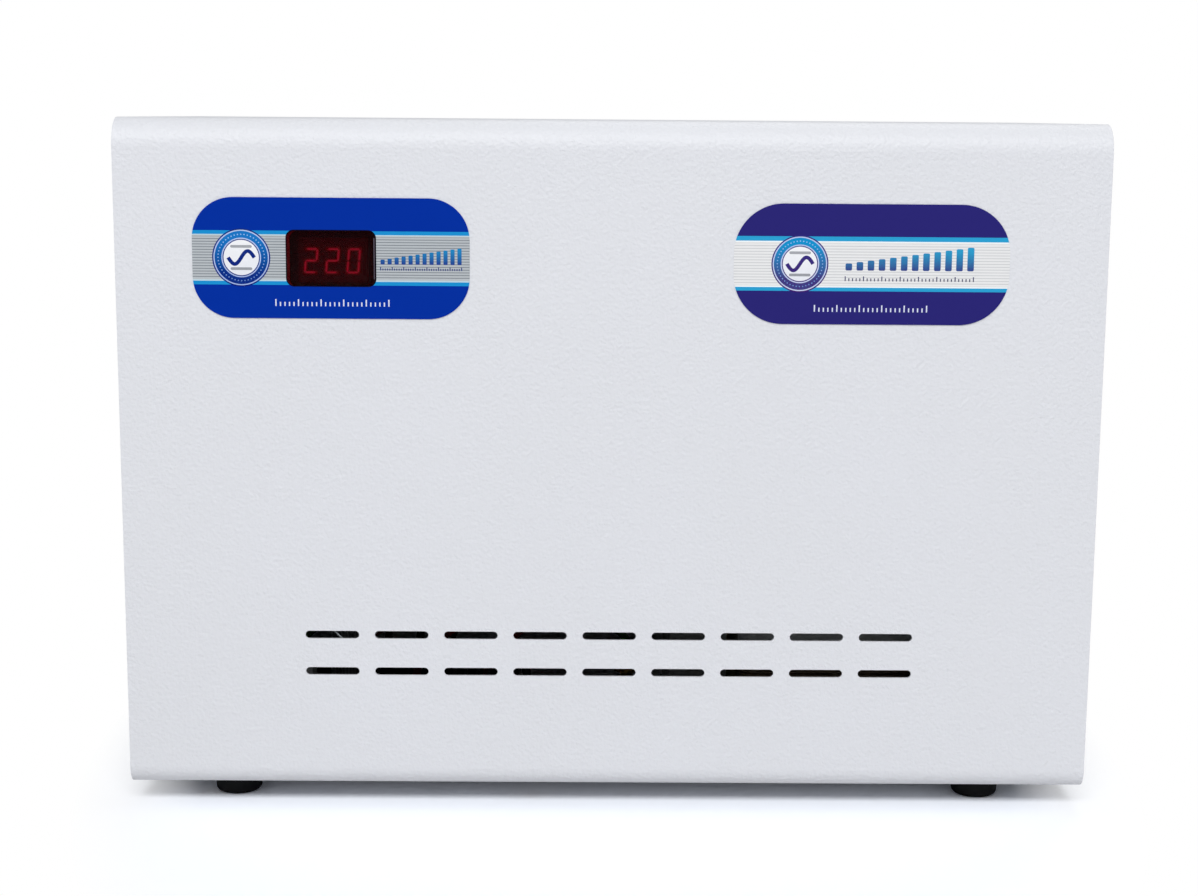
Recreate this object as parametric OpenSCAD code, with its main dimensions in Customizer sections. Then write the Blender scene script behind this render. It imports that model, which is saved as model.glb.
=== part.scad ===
// Voltage stabilizer: a folded sheet-metal cabinet on four rubber feet. It holds a
// tapped transformer, a relay board, a three-digit display, a terminal block and a
// two-pole breaker that is switched at the rear, beside two cable glands.

/* [Cabinet] */
// Free width between the control board and the transformer
middle_gap = 48.8; // [40:0.2:110]
// Free depth in front of the transformer, and behind it
core_room = 30.5; // [28:0.5:55]
// Height of the cabinet without its feet
case_h = 242; // [235:1:300]
// Thickness of the sheet
sheet_t = 1; // [0.8:0.1:1.4]
// Outer radius of the bend at the top of the front
top_bend_r = 10; // [5:0.5:12]
// Outer radius of the bend at the bottom of the front
low_bend_r = 7; // [5:0.5:12]
// Outer radius of the small folds
fold_r = 2; // [1.8:0.1:2.6]
// Width of the folded flanges
flange_w = 12; // [11:0.5:15]
// Side panels lie this far inside the cut edges of the cover
side_inset = 1.5; // [0.5:0.1:3]
// Rear panel ends this far below and above the cover
rear_inset = 1.5; // [1:0.1:3]
// Distance of the bottom screws from the front and the rear
screw_inset = 40; // [30:1:50]

/* [Ventilation slots] */
// Length of a slot
slot_w = 19.4; // [16:0.2:21]
// Height of a slot
slot_h = 2.9; // [2:0.1:4]
// Distance between slots in a row
slot_pitch = 25.1; // [24:0.1:27]
// Distance between rows
slot_row_pitch = 13.6; // [10:0.2:16]
// Slots in a front row
front_columns = 9; // [5:1:9]
// Rows on the front
front_rows = 2; // [1:1:3]
// Height of the middle of the front slots above the bottom sheet
front_vent_z = 50.4; // [40:0.2:60]
// Slots in a row on each side
side_columns = 5; // [3:1:5]

/* [Labels] */
// Width of the left label
left_label_w = 97.4; // [80:0.2:110]
// Width of the right label
right_label_w = 97.4; // [80:0.2:110]
// Height of the labels
label_h = 42.4; // [34:0.2:50]
// Thickness of the labels
label_t = 0.3; // [0.2:0.05:0.6]
// Corner radius of the left label
left_label_r = 14.5; // [8:0.5:16]
// Corner radius of the right label
right_label_r = 17.5; // [8:0.5:17.5]
// Middle of the left label, left of the middle of the cabinet
left_label_x = 99; // [90:0.2:105]
// Middle of the right label, right of the middle of the cabinet
right_label_x = 91.4; // [80:0.2:105]
// Middle of the left label below the top of the cabinet
left_label_drop = 48.6; // [45:0.2:60]
// Middle of the right label below the top of the cabinet
right_label_drop = 49.4; // [45:0.2:60]

/* [Display] */
// Width of the window in the left label
window_w = 31.8; // [28:0.2:34]
// Height of the window
window_h = 20; // [18:0.1:22]
// Corner radius of the window
window_r = 2.9; // [1:0.1:5]
// Width of the digit module
module_w = 24; // [22:0.1:25]
// Height of the digit module
module_h = 15.4; // [13:0.1:16]
// Depth of the digit module
module_d = 7.2; // [6:0.1:9]
// Height of a digit
digit_h = 9.14; // [8:0.02:10]
// Distance between digits
digit_pitch = 7.5; // [7:0.05:7.8]
// Width of a segment
segment_w = 0.9; // [0.8:0.05:1.3]
// Slant of the digits in degrees
digit_slant = 5; // [0:1:10]
// Digits of the reading, the first digit first
reading = [2, 2, 0]; // digits from 0 to 9
// Thickness of the red film in the window
film_t = 0.2; // [0.1:0.05:0.3]

/* [Feet] */
// Height of a foot
foot_h = 8; // [7:0.5:12]
// Radius of a foot where it meets the cabinet
foot_r = 9; // [8:0.1:10]
// Distance of the feet from the cut edges of the cover
foot_side = 36.1; // [33:0.1:50]
// Space between the feet and the heads of the transformer bolts
foot_bolt_gap = 3.5; // [2:0.1:6]

/* [Transformer] */
// Half the width of the middle limb, which is the unit of the core plates
half_limb_w = 22.2; // [20:0.1:23]
// Thickness of the stack of plates
stack_t = 65; // [50:1:70]
// Gap between the core and the right side panel
core_gap = 15; // [12:0.5:20]
// Depth of the winding in front of and behind the stack
winding_d = 17; // [14:0.5:18]
// Thickness of the bobbin walls
bobbin_t = 2; // [1.5:0.1:2.5]
// Thickness of the clamp angles
angle_t = 3; // [2:0.1:4]
// Width of the foot of a clamp angle
angle_w = 22; // [20:0.5:24]
// Diameter of the core bolts
core_bolt_d = 5; // [4:0.5:6]
// Diameter of the bolts that hold the transformer
base_bolt_d = 6; // [5:0.5:7]

/* [Control board] */
// Length of the control board
board_l = 130; // [128:1:150]
// Depth of the control board
board_d = 88; // [86:1:96]
// Thickness of both boards
board_t = 1.6; // [1.2:0.1:2]
// Height of the pillars below the control board
pillar_h = 9; // [7:0.5:12]
// Number of relays
relay_count = 4; // [2:1:4]
// Length of a relay
relay_l = 32; // [28:0.5:33]
// Width of a relay
relay_w = 27; // [20:0.5:27]
// Height of a relay
relay_h = 20; // [18:0.5:24]

/* [Breaker] */
// Width of one pole of the breaker
pole_w = 18; // [17.5:0.1:18.5]
// Height of the breaker body
breaker_h = 84; // [80:0.5:90]
// Height of the part of the breaker that shows
nose_h = 45; // [44:0.1:46]
// Depth of the breaker from its rail to its nose
nose_d = 60; // [58:0.5:64]
// Depth of the breaker from its rail to its shoulders
shoulder_d = 44; // [42:0.5:46]
// How far the nose stands out of the rear panel
nose_proud = 5; // [3:0.5:7]
// Middle of the breaker, right of the middle of the terminal block
breaker_shift = 48.5; // [44:0.5:52]
// Middle of the breaker below the top of the cabinet
breaker_drop = 96; // [90:1:104]
// Angle of the lever above the middle when it is on
lever_on = 40; // [30:1:45]

/* [Cable glands and terminals] */
// Radius of the hole for the cable
cable_r = 5.5; // [4.5:0.1:6]
// Radius of the gland thread
gland_r = 10; // [9.5:0.1:11]
// Distance between the two glands
gland_pitch = 40; // [38:1:50]
// Height of the glands above the bottom sheet
gland_z = 62; // [58:1:70]
// Number of ways of the terminal block
ways = 6; // [4:1:6]
// Distance between two ways
way_pitch = 13; // [12:0.5:14]

/* [Hidden] */

// Overrun of every cut
cut = 1;
// Clearance between pieces that slide into each other
fit = 0.2;
// Radial clearance of a running pin
pin_fit = 0.05;
// Facets of large, middle and small circles
fine = 96;
mid = 48;
coarse = 24;

// Colours
paint = [0.87, 0.88, 0.90];
steel = [0.62, 0.63, 0.64];
black = [0.07, 0.07, 0.08];

// Screws of the cabinet and their press nuts
screw_d = 4;
screw_l = 8;
press_nut_r = 3.6;
press_nut_h = 2.4;
// Head radius and height of a pan head screw, in shares of its diameter
pan_head_share = [1, 0.6];
// Width over flats and height of a nut, in shares of its thread diameter
nut_share = [1.75, 0.8];
// Outer radius and thickness of a washer, in shares of its thread diameter
washer_share = [1.1, 0.18];
// Radius of a clearance hole, in shares of the screw diameter
hole_share = 0.56;

// Places in the cabinet, with y from its front face and z from its bottom sheet
core_w = 6 * half_limb_w;
core_h = 5 * half_limb_w;
board_gap = 7;
contents_w = flange_w + board_gap + board_l + middle_gap + core_w + core_gap + sheet_t;
case_w = contents_w + 2 * side_inset;
case_d = stack_t + 2 * (angle_w + core_room);
gland_flange_t = 5;
gland_cap_l = 20;
gland_reach = gland_flange_t + gland_cap_l;
front_y = -(label_t + case_d + gland_reach) / 2 + label_t;
breaker_z = case_h - breaker_drop;
side_x = case_w / 2 - side_inset;
inner_side_x = side_x - flange_w;
top_in_z = case_h - sheet_t;
cover_screw_x = side_x - flange_w / 2;
rear_flange_screw_share = 0.25;
side_flange_screw_share = 0.27;
label_z = case_h - left_label_drop;

// Gap that keeps neighbouring folds apart
relief = 1;

module in_case() {
    translate([0, front_y, foot_h]) children();
}

// Flat outlines
module rounded_rect(w, h, r) {
    square([w - 2 * r, h], center = true);
    square([w, h - 2 * r], center = true);
    for (x = [-1, 1], y = [-1, 1])
        translate([x * (w / 2 - r), y * (h / 2 - r)]) circle(r, $fn = mid);
}

module obround(w, h) {
    square([w - h, h], center = true);
    for (x = [-1, 1]) translate([x * (w - h) / 2, 0]) circle(h / 2, $fn = coarse);
}

module slot_rows(columns, rows) {
    for (c = [0:columns - 1], r = [0:rows - 1])
        translate([(c - (columns - 1) / 2) * slot_pitch, (r - (rows - 1) / 2) * slot_row_pitch])
            obround(slot_w, slot_h);
}

// Turns an outline drawn as x and z into a plate of thickness t that ends at y = 0
module upright(t) {
    rotate([90, 0, 0]) linear_extrude(t) children();
}

// Turns an outline drawn as y and z into a bar along x
module along_x(length) {
    rotate([90, 0, 90]) linear_extrude(length, center = true) children();
}

// Fasteners, with the seat of the head or nut at z = 0
module pan_screw(d, length) {
    head_r = d * pan_head_share[0];
    head_h = d * pan_head_share[1];
    difference() {
        union() {
            cylinder(head_h / 2, r = head_r, $fn = coarse);
            translate([0, 0, head_h / 2])
                cylinder(head_h / 2, head_r, head_r * 0.7, $fn = coarse);
        }
        for (a = [0, 90]) rotate([0, 0, a])
            translate([0, 0, head_h]) cube([d, d / 5, head_h], center = true);
    }
    translate([0, 0, -length]) cylinder(length, r = d / 2, $fn = coarse);
}

module hex_nut(d) {
    difference() {
        cylinder(d * nut_share[1], d = d * nut_share[0] / cos(30), $fn = 6);
        translate([0, 0, -cut])
            cylinder(d * nut_share[1] + 2 * cut, r = d / 2 + pin_fit, $fn = coarse);
    }
}

module washer(d) {
    difference() {
        cylinder(d * washer_share[1], r = d * washer_share[0], $fn = coarse);
        translate([0, 0, -cut])
            cylinder(d * washer_share[1] + 2 * cut, r = d / 2 + pin_fit, $fn = coarse);
    }
}

module hex_bolt(d, length) {
    cylinder(d * 0.65, d = d * nut_share[0] / cos(30), $fn = 6);
    translate([0, 0, -length]) cylinder(length, r = d / 2, $fn = coarse);
}

module screw_hole(d) {
    circle(d * hole_share, $fn = coarse);
}

// Waste that leaves an outline with a rounded corner at the origin
module corner_waste(r) {
    difference() {
        translate([-cut, -cut]) square(r + cut);
        translate([r, r]) circle(r, $fn = fine);
    }
}

// Section of the cover: front, top, bottom and the folded rear flanges
module cover_loop(inset) {
    rear = case_d - sheet_t - inset;
    top = case_h - inset;
    difference() {
        translate([inset, inset]) square([rear - inset, top - inset]);
        translate([inset, inset]) corner_waste(low_bend_r - inset);
        translate([inset, top]) mirror([0, 1]) corner_waste(top_bend_r - inset);
        translate([rear, inset]) mirror([1, 0]) corner_waste(fold_r - inset);
        translate([rear, top]) rotate(180) corner_waste(fold_r - inset);
    }
}

module cover_section() {
    difference() {
        cover_loop(0);
        cover_loop(sheet_t);
        translate([case_d - sheet_t - fold_r, flange_w])
            square([fold_r + cut, case_h - 2 * flange_w]);
    }
}

// Places of the screws in the bottom sheet and on the rear panel
module at_cover_screws() {
    for (x = [-1, 1], y = [screw_inset, case_d - screw_inset])
        translate([x * cover_screw_x, y, 0]) children();
}

// The feet stand clear of the heads of the transformer bolts
base_bolt_y = stack_t / 2 + angle_t + (angle_w - angle_t) / 2;
foot_x = case_w / 2 - foot_side;
foot_inset = case_d / 2 - base_bolt_y - base_bolt_d * pan_head_share[0] - foot_bolt_gap - foot_r;

module at_feet() {
    for (x = [-foot_x, foot_x], y = [foot_inset, case_d - foot_inset])
        translate([x, y, 0]) children();
}

rear_screw_places = concat(
    [for (x = [-1, 1], z = [flange_w / 2 + relief, case_h - flange_w / 2 - relief])
        [x * case_w * rear_flange_screw_share, z]],
    [for (x = [-1, 1], s = [side_flange_screw_share, 1 - side_flange_screw_share])
        [x * cover_screw_x, case_h * s]]);

cover_flange_end = inner_side_x - relief;

module cover() {
    color(paint) in_case() difference() {
        along_x(case_w) cover_section();
        // The rear flanges stop short of the side panels
        for (x = [-case_w / 2 - cut, cover_flange_end], z = [sheet_t, top_in_z - flange_w])
            translate([x, case_d - sheet_t - fold_r, z])
                cube([case_w / 2 + cut - cover_flange_end, fold_r + cut, flange_w]);
        // Slots and display opening in the front
        translate([0, sheet_t + cut, front_vent_z])
            upright(sheet_t + 2 * cut) slot_rows(front_columns, front_rows);
        translate([-left_label_x + window_shift[0], sheet_t + cut, label_z + window_shift[1]])
            upright(sheet_t + 2 * cut) rounded_rect(window_w, window_h, window_r);
        at_cover_screws() translate([0, 0, -cut])
            linear_extrude(sheet_t + 2 * cut) screw_hole(screw_d);
        at_feet() translate([0, 0, -cut])
            linear_extrude(sheet_t + 2 * cut) screw_hole(screw_d);
        at_base_bolts() translate([0, 0, -cut])
            linear_extrude(sheet_t + 2 * cut) screw_hole(base_bolt_d);
        at_pillars() translate([0, 0, -cut])
            cylinder(sheet_t + 2 * cut, r = pillar_stem_r + pin_fit, $fn = coarse);
        at_terminal_fixings() translate([0, 0, -cut])
            linear_extrude(sheet_t + 2 * cut) screw_hole(screw_d);
        translate([earth_x, earth_y, -cut])
            linear_extrude(sheet_t + 2 * cut) screw_hole(earth_d);
        for (p = rear_screw_places) if (abs(p[0]) < cover_flange_end)
            translate([p[0], case_d, p[1]]) upright(sheet_t + fold_r + cut) screw_hole(screw_d);
    }
}

// Section of a folded edge: the panel rises from the fold, the flange runs to the right
module fold_section() {
    translate([fold_r, 0]) square([flange_w - fold_r, sheet_t]);
    intersection() {
        translate([fold_r, fold_r]) difference() {
            circle(fold_r, $fn = mid);
            circle(fold_r - sheet_t, $fn = mid);
        }
        square(fold_r);
    }
}

side_y0 = sheet_t;
side_y1 = case_d - sheet_t;
side_z0 = sheet_t;
side_z1 = case_h - sheet_t;
corner_gap = max(top_bend_r, low_bend_r) - sheet_t + relief;
level_run = side_y1 - side_y0 - corner_gap - fold_r - relief;
level_mid = (side_y0 + corner_gap + side_y1 - fold_r - relief) / 2;
rise_run = side_z1 - side_z0 - 2 * corner_gap;
rise_mid = case_h / 2;

module side_outline() {
    difference() {
        translate([side_y0, side_z0]) square([side_y1 - side_y0, side_z1 - side_z0]);
        translate([side_y0, side_z0]) corner_waste(low_bend_r - sheet_t);
        translate([side_y0, side_z1]) mirror([0, 1]) corner_waste(top_bend_r - sheet_t);
        for (z = [side_z0 - cut, side_z1 - fold_r])
            translate([level_mid - level_run / 2, z]) square([level_run, fold_r + cut]);
        for (y = [side_y0 - cut, side_y1 - fold_r])
            translate([y, rise_mid - rise_run / 2]) square([fold_r + cut, rise_run]);
        for (s = [front_vent_z, side_z1 - front_vent_z])
            translate([case_d / 2, s]) slot_rows(side_columns, front_rows);
    }
}

// Right side panel with its four flanges turned inwards
module side_panel() {
    difference() {
        union() {
            translate([side_x - sheet_t / 2, 0, 0]) along_x(sheet_t) side_outline();
            translate([side_x, level_mid, side_z0]) rotate([90, 0, 180])
                linear_extrude(level_run, center = true) fold_section();
            translate([side_x, level_mid, side_z1]) rotate([-90, 0, 180])
                linear_extrude(level_run, center = true) fold_section();
            translate([side_x, side_y0, rise_mid]) rotate([180, 0, 180])
                linear_extrude(rise_run, center = true) fold_section();
            translate([side_x, side_y1, rise_mid]) rotate([0, 0, 180])
                linear_extrude(rise_run, center = true) fold_section();
        }
        at_cover_screws() cylinder(2 * sheet_t + cut, r = screw_d * hole_share, $fn = coarse);
        for (p = rear_screw_places) if (p[0] > cover_flange_end)
            translate([p[0], case_d, p[1]]) upright(3 * sheet_t + cut) screw_hole(screw_d);
    }
}

module right_side_panel() {
    color(paint) in_case() side_panel();
}

module left_side_panel() {
    color(paint) in_case() mirror([1, 0, 0]) side_panel();
}

rear_vent_x = 78;
rear_vent_rows = 4;
rear_vent_columns = 5;
rear_top_drop = 26;
// The cut-out of the sheet sits this far right of and above the window of the label
window_shift = [1.3, -0.4];

module rear_panel() {
    color(paint) in_case() translate([0, case_d, 0]) upright(sheet_t) difference() {
        translate([0, case_h / 2])
            rounded_rect(2 * side_x, case_h - 2 * rear_inset, fold_r);
        translate([rear_vent_x, front_vent_z + slot_row_pitch])
            slot_rows(rear_vent_columns, rear_vent_rows);
        translate([0, case_h - flange_w - rear_top_drop])
            slot_rows(front_columns, front_rows);
        translate([breaker_x, breaker_z])
            square([2 * pole_w + 2 * fit, nose_h + 2 * fit], center = true);
        for (x = gland_xs) translate([x, gland_z]) circle(gland_r + fit, $fn = fine);
        for (p = rear_screw_places) translate(p) screw_hole(screw_d);
        for (p = bracket_screw_places) translate(p) screw_hole(screw_d);
    }
}

// Press nuts sit on the inner faces of the flanges
module press_nut() {
    difference() {
        cylinder(press_nut_h, r = press_nut_r, $fn = coarse);
        translate([0, 0, -cut])
            cylinder(press_nut_h + 2 * cut, r = screw_d / 2 + pin_fit, $fn = coarse);
    }
}

module press_nuts() {
    color(steel) in_case() {
        at_cover_screws() translate([0, 0, 2 * sheet_t]) press_nut();
        for (p = rear_screw_places) translate([p[0], case_d - 2 * sheet_t, p[1]])
            rotate([90, 0, 0]) press_nut();
        at_bracket_screws() translate([0, -sheet_t - bracket_t, 0])
            rotate([90, 0, 0]) press_nut();
    }
}

module cover_screws() {
    color(steel) in_case() at_cover_screws() mirror([0, 0, 1]) pan_screw(screw_d, screw_l);
}

module rear_screws() {
    color(steel) in_case() {
        for (p = rear_screw_places)
            translate([p[0], case_d, p[1]]) rotate([-90, 0, 0]) pan_screw(screw_d, screw_l);
        at_bracket_screws() rotate([-90, 0, 0]) pan_screw(screw_d, screw_l);
    }
}

// Feet: a turned rubber foot with a recess for the head of its screw
foot_taper_share = 0.95;
foot_edge_share = 0.45;
foot_recess_r = 4.6;
foot_web = 4;

module feet() {
    low_r = foot_r * foot_taper_share;
    edge_r = (low_r - foot_recess_r) * foot_edge_share;
    color(black) translate([0, front_y, 0]) at_feet() rotate_extrude($fn = mid) {
        polygon([[foot_recess_r, 0], [low_r - edge_r, 0], [low_r, edge_r],
            [foot_r, foot_h], [foot_recess_r, foot_h]]);
        translate([low_r - edge_r, edge_r]) circle(edge_r, $fn = mid);
        translate([screw_d * hole_share, foot_h - foot_web])
            square([foot_recess_r - screw_d * hole_share, foot_web]);
    }
}

module foot_screws() {
    color(steel) in_case() at_feet() translate([0, 0, -foot_web]) mirror([0, 0, 1])
        pan_screw(screw_d, foot_web + sheet_t + screw_d * (nut_share[1] + washer_share[1]) + cut);
}

module foot_nuts() {
    color(steel) in_case() at_feet() translate([0, 0, sheet_t]) {
        washer(screw_d);
        translate([0, 0, screw_d * washer_share[1]]) hex_nut(screw_d);
    }
}

// Labels
module left_label() {
    color("mediumblue") in_case() translate([-left_label_x, 0, label_z]) upright(label_t)
        difference() {
            rounded_rect(left_label_w, label_h, left_label_r);
            rounded_rect(window_w, window_h, window_r);
        }
}

module right_label() {
    color("indigo") in_case() translate([right_label_x, 0, case_h - right_label_drop]) upright(label_t)
        rounded_rect(right_label_w, label_h, right_label_r);
}

// Display
module_gap = 2.8;
digit_drop = 1.1;
module_y = sheet_t + module_gap;
display_board_y = module_y + module_d;
stud_d = 3;
spacer_r = 2.9;
stud_edge = 4;
board_margin = 5;
display_board_w = window_w + 2 * board_margin + 3 * spacer_r + 2 * stud_edge;
display_board_h = window_h + 2 * board_margin + 4 * spacer_r;

module at_display(y) {
    in_case() translate([-left_label_x, y, label_z]) children();
}

module at_studs() {
    for (x = [-1, 1], z = [-1, 1])
        translate([x * (display_board_w / 2 - stud_edge), 0, z * (display_board_h / 2 - stud_edge)])
            rotate([-90, 0, 0]) children();
}

// Red film, glued to the sheet in the window of the label
module display_filter() {
    color("darkred") at_display(0) upright(film_t) rounded_rect(window_w, window_h, window_r);
}

// Ends and direction of each of the seven bars, in shares of the digit's width and height
bar_shares = [
    [[0, 1], [1, 1]], [[1, 1], [1, 0.5]], [[1, 0.5], [1, 0]], [[0, 0], [1, 0]],
    [[0, 0.5], [0, 0]], [[0, 1], [0, 0.5]], [[0, 0.5], [1, 0.5]]];
// Bars that are lit for the digits 0 to 9
lit_bars = [[0, 1, 2, 3, 4, 5], [1, 2], [0, 1, 6, 4, 3], [0, 1, 6, 2, 3], [5, 6, 1, 2],
    [0, 5, 6, 2, 3], [0, 5, 6, 4, 3, 2], [0, 1, 2], [0, 1, 2, 3, 4, 5, 6], [0, 1, 2, 3, 5, 6]];
digit_w = digit_h * 0.52;
bar_gap = segment_w * 0.12;
segment_t = 0.3;
point_r = 0.5;

function slanted(p) = [p[0] + p[1] * tan(digit_slant), p[1]];

// One bar with pointed ends, drawn between the middles of its two corners
module bar(a, b) {
    w = digit_w - segment_w;
    h = digit_h - segment_w;
    p = [(a[0] - 0.5) * w, (a[1] - 0.5) * h];
    q = [(b[0] - 0.5) * w, (b[1] - 0.5) * h];
    u = (q - p) / norm(q - p);
    n = [-u[1], u[0]] * segment_w / 2;
    e = u * segment_w / 2;
    g = u * bar_gap;
    polygon([for (c = [p + g, p + g + e + n, q - g - e + n, q - g, q - g - e - n, p + g + e - n])
        slanted(c)]);
}

module at_digit(i) {
    translate([(i - 1) * digit_pitch, 0]) children();
}

module segments(lit) {
    at_display(module_y) translate([0, segment_t, -digit_drop]) upright(segment_t)
        for (i = [0:2]) at_digit(i)
            for (s = [0:6]) if ((len(search(s, lit_bars[reading[i]])) > 0) == lit)
                bar(bar_shares[s][0], bar_shares[s][1]);
}

module point_places() {
    for (i = [0:2])
        translate([(i - 1) * digit_pitch + digit_w * 0.7, -digit_h / 2 - point_r]) children();
}

module lit_segments() {
    color("red") segments(true);
}

module dark_segments() {
    color([0.25, 0.05, 0.06]) {
        segments(false);
        at_display(module_y) translate([0, segment_t, -digit_drop]) upright(segment_t)
            point_places() circle(point_r, $fn = coarse);
    }
}

pin_w = 0.5;
pin_columns = 6;
pin_row_z = module_h * 0.42;

module at_pins() {
    for (i = [0:pin_columns - 1], z = [-pin_row_z, pin_row_z])
        translate([(i - (pin_columns - 1) / 2) * pin_w * 5, z]) children();
}

module display_module() {
    color([0.12, 0.05, 0.06]) at_display(module_y) translate([0, 0, -digit_drop]) difference() {
        union() {
            translate([0, module_d, 0]) upright(module_d)
                square([module_w, module_h], center = true);
            translate([0, module_d + board_t + 2 * pin_w, 0]) upright(board_t + 2 * pin_w)
                at_pins() circle(pin_w / 2, $fn = 16);
        }
        translate([0, segment_t, 0]) upright(segment_t + cut) {
            for (i = [0:2]) at_digit(i)
                for (s = [0:6]) bar(bar_shares[s][0], bar_shares[s][1]);
            point_places() circle(point_r, $fn = coarse);
        }
    }
}

module display_board() {
    color("darkgreen") at_display(display_board_y) difference() {
        translate([0, board_t, 0]) upright(board_t) difference() {
            rounded_rect(display_board_w, display_board_h, stud_d / 2);
            translate([0, -digit_drop]) at_pins() circle(pin_w / 2 + pin_fit, $fn = 16);
        }
        at_studs() translate([0, 0, -cut])
            cylinder(board_t + 2 * cut, r = stud_d * hole_share, $fn = coarse);
    }
}

stud_l = display_board_y - sheet_t + board_t + stud_d * nut_share[1] + stud_d / 3;

module display_studs() {
    color("peru") at_display(sheet_t) at_studs() cylinder(stud_l, r = stud_d / 2, $fn = coarse);
}

module display_spacers() {
    color("white") at_display(sheet_t) at_studs() difference() {
        cylinder(display_board_y - sheet_t, r = spacer_r, $fn = coarse);
        translate([0, 0, -cut])
            cylinder(display_board_y + cut, r = stud_d / 2 + pin_fit, $fn = coarse);
    }
}

module display_nuts() {
    color(steel) at_display(display_board_y + board_t) at_studs() hex_nut(stud_d);
}

// Transformer, with its plates upright and its winding around the middle limb
core_x = side_x - sheet_t - core_gap - core_w / 2;
core_y = case_d / 2;
core_z = sheet_t + angle_t;
core_hole_r = core_bolt_d * hole_share;
seam_r = 0.8;

module at_core() {
    in_case() translate([core_x, core_y, core_z]) children();
}

module at_core_holes() {
    for (x = [-1, 1], z = [half_limb_w / 2, core_h - half_limb_w / 2])
        translate([x * (core_w - half_limb_w) / 2, 0, z]) rotate([90, 0, 0]) children();
}

module stack(z0, z1) {
    difference() {
        translate([-core_w / 2, -stack_t / 2, z0]) cube([core_w, stack_t, z1 - z0]);
        at_core_holes() cylinder(stack_t + 2 * cut, r = core_hole_r, center = true, $fn = coarse);
        // Grooves of the weld seams on both sides
        for (x = [-1, 1], y = [-1, 0, 1])
            translate([x * core_w / 2, y * stack_t / 4, z0])
                cylinder(2 * (z1 - z0) + cut, r = seam_r, center = true, $fn = 16);
    }
}

module e_plates() {
    color([0.35, 0.36, 0.38]) at_core() difference() {
        stack(0, 4 * half_limb_w);
        for (x = [-2, 1]) translate([x * half_limb_w, -stack_t / 2 - cut, half_limb_w])
            cube([half_limb_w, stack_t + 2 * cut, 3 * half_limb_w + cut]);
    }
}

module i_plates() {
    color([0.38, 0.39, 0.41]) at_core() stack(4 * half_limb_w, core_h);
}

// Bobbin: a square tube with a flange at each end
limb_x = half_limb_w + fit;
limb_y = stack_t / 2 + fit;
bobbin_out = winding_d + bobbin_t;
window_gap = 2 * fit;

module bobbin_plan(grow_x, grow_y, r) {
    rounded_rect(2 * (limb_x + grow_x), 2 * (limb_y + grow_y), r);
}

winding_x = half_limb_w - window_gap - bobbin_t - fit;

module bobbin() {
    flange_x = half_limb_w - window_gap - fit;
    color("ivory") at_core() translate([0, 0, half_limb_w + fit])
        difference() {
            union() {
                for (z = [0, 3 * half_limb_w - 2 * fit - bobbin_t]) translate([0, 0, z])
                    linear_extrude(bobbin_t) bobbin_plan(flange_x, bobbin_out, 2 * bobbin_t);
                linear_extrude(3 * half_limb_w - 2 * fit)
                    bobbin_plan(bobbin_t, bobbin_t, bobbin_t);
            }
            translate([0, 0, -cut]) linear_extrude(3 * half_limb_w + 2 * cut)
                square([2 * limb_x, 2 * limb_y], center = true);
        }
}

wrap_t = 0.6;
winding_h = 3 * half_limb_w - 2 * fit - 2 * bobbin_t - 2 * fit;
wrap_h = winding_h * 0.8;
wound_x = winding_x - 3 * wrap_t;
wound_y = winding_d - 3 * wrap_t;

module ring_plan(inner_x, inner_y, outer_x, outer_y, r) {
    difference() {
        bobbin_plan(outer_x, outer_y, r);
        bobbin_plan(inner_x, inner_y, bobbin_t);
    }
}

// Winding: rounded turns between the flanges, with the wire's ribs on the outside
turn_ribs = 14;

module winding() {
    rib = winding_h / turn_ribs;
    color("chocolate") at_core() translate([0, 0, half_limb_w + 2 * fit + bobbin_t]) {
        linear_extrude(winding_h)
            ring_plan(bobbin_t + fit, bobbin_t + fit, wound_x - wrap_t, wound_y - wrap_t, 3 * bobbin_t);
        for (i = [0:turn_ribs - 1]) translate([0, 0, (i + 0.1) * rib])
            linear_extrude(rib * 0.8)
                ring_plan(bobbin_t + fit, bobbin_t + fit, wound_x, wound_y, 3 * bobbin_t);
    }
}

module winding_wrap() {
    color("gold") at_core()
        translate([0, 0, half_limb_w + 2 * fit + bobbin_t + (winding_h - wrap_h) / 2])
            linear_extrude(wrap_h) difference() {
                bobbin_plan(wound_x + wrap_t, wound_y + wrap_t, 3 * bobbin_t + wrap_t);
                bobbin_plan(wound_x, wound_y, 3 * bobbin_t);
            }
}

// Four clamp angles hold the plates; the lower two stand on the bottom sheet
angle_h = half_limb_w - 2 * fit;

module at_base_bolts() {
    for (x = [-1, 1], y = [-1, 1])
        translate([core_x + x * (core_w - 2 * half_limb_w) / 2, core_y + y * base_bolt_y, 0])
            children();
}

module angle_section(foot_w) {
    square([angle_t, angle_h]);
    square([foot_w, angle_t]);
}

module clamp_angles() {
    color("darkslategray") in_case() difference() {
        translate([core_x, core_y, 0]) for (y = [0, 1]) mirror([0, y, 0]) {
            translate([0, stack_t / 2, sheet_t]) along_x(core_w) angle_section(angle_w);
            translate([0, stack_t / 2, core_z + core_h]) along_x(core_w) mirror([0, 1])
                angle_section(angle_w * 0.7);
        }
        translate([core_x, core_y, core_z]) at_core_holes()
            cylinder(2 * case_d, r = core_hole_r, center = true, $fn = coarse);
        at_base_bolts() cylinder(angle_t + 2 * sheet_t, r = base_bolt_d * hole_share, $fn = coarse);
    }
}

clamp_reach = stack_t / 2 + angle_t;

module core_bolts() {
    length = 2 * clamp_reach + core_bolt_d * (nut_share[1] + 0.4);
    color(steel) at_core() at_core_holes()
        translate([0, 0, clamp_reach]) hex_bolt(core_bolt_d, length);
}

module core_nuts() {
    color(steel) at_core() at_core_holes()
        translate([0, 0, -clamp_reach]) mirror([0, 0, 1]) hex_nut(core_bolt_d);
}

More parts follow.
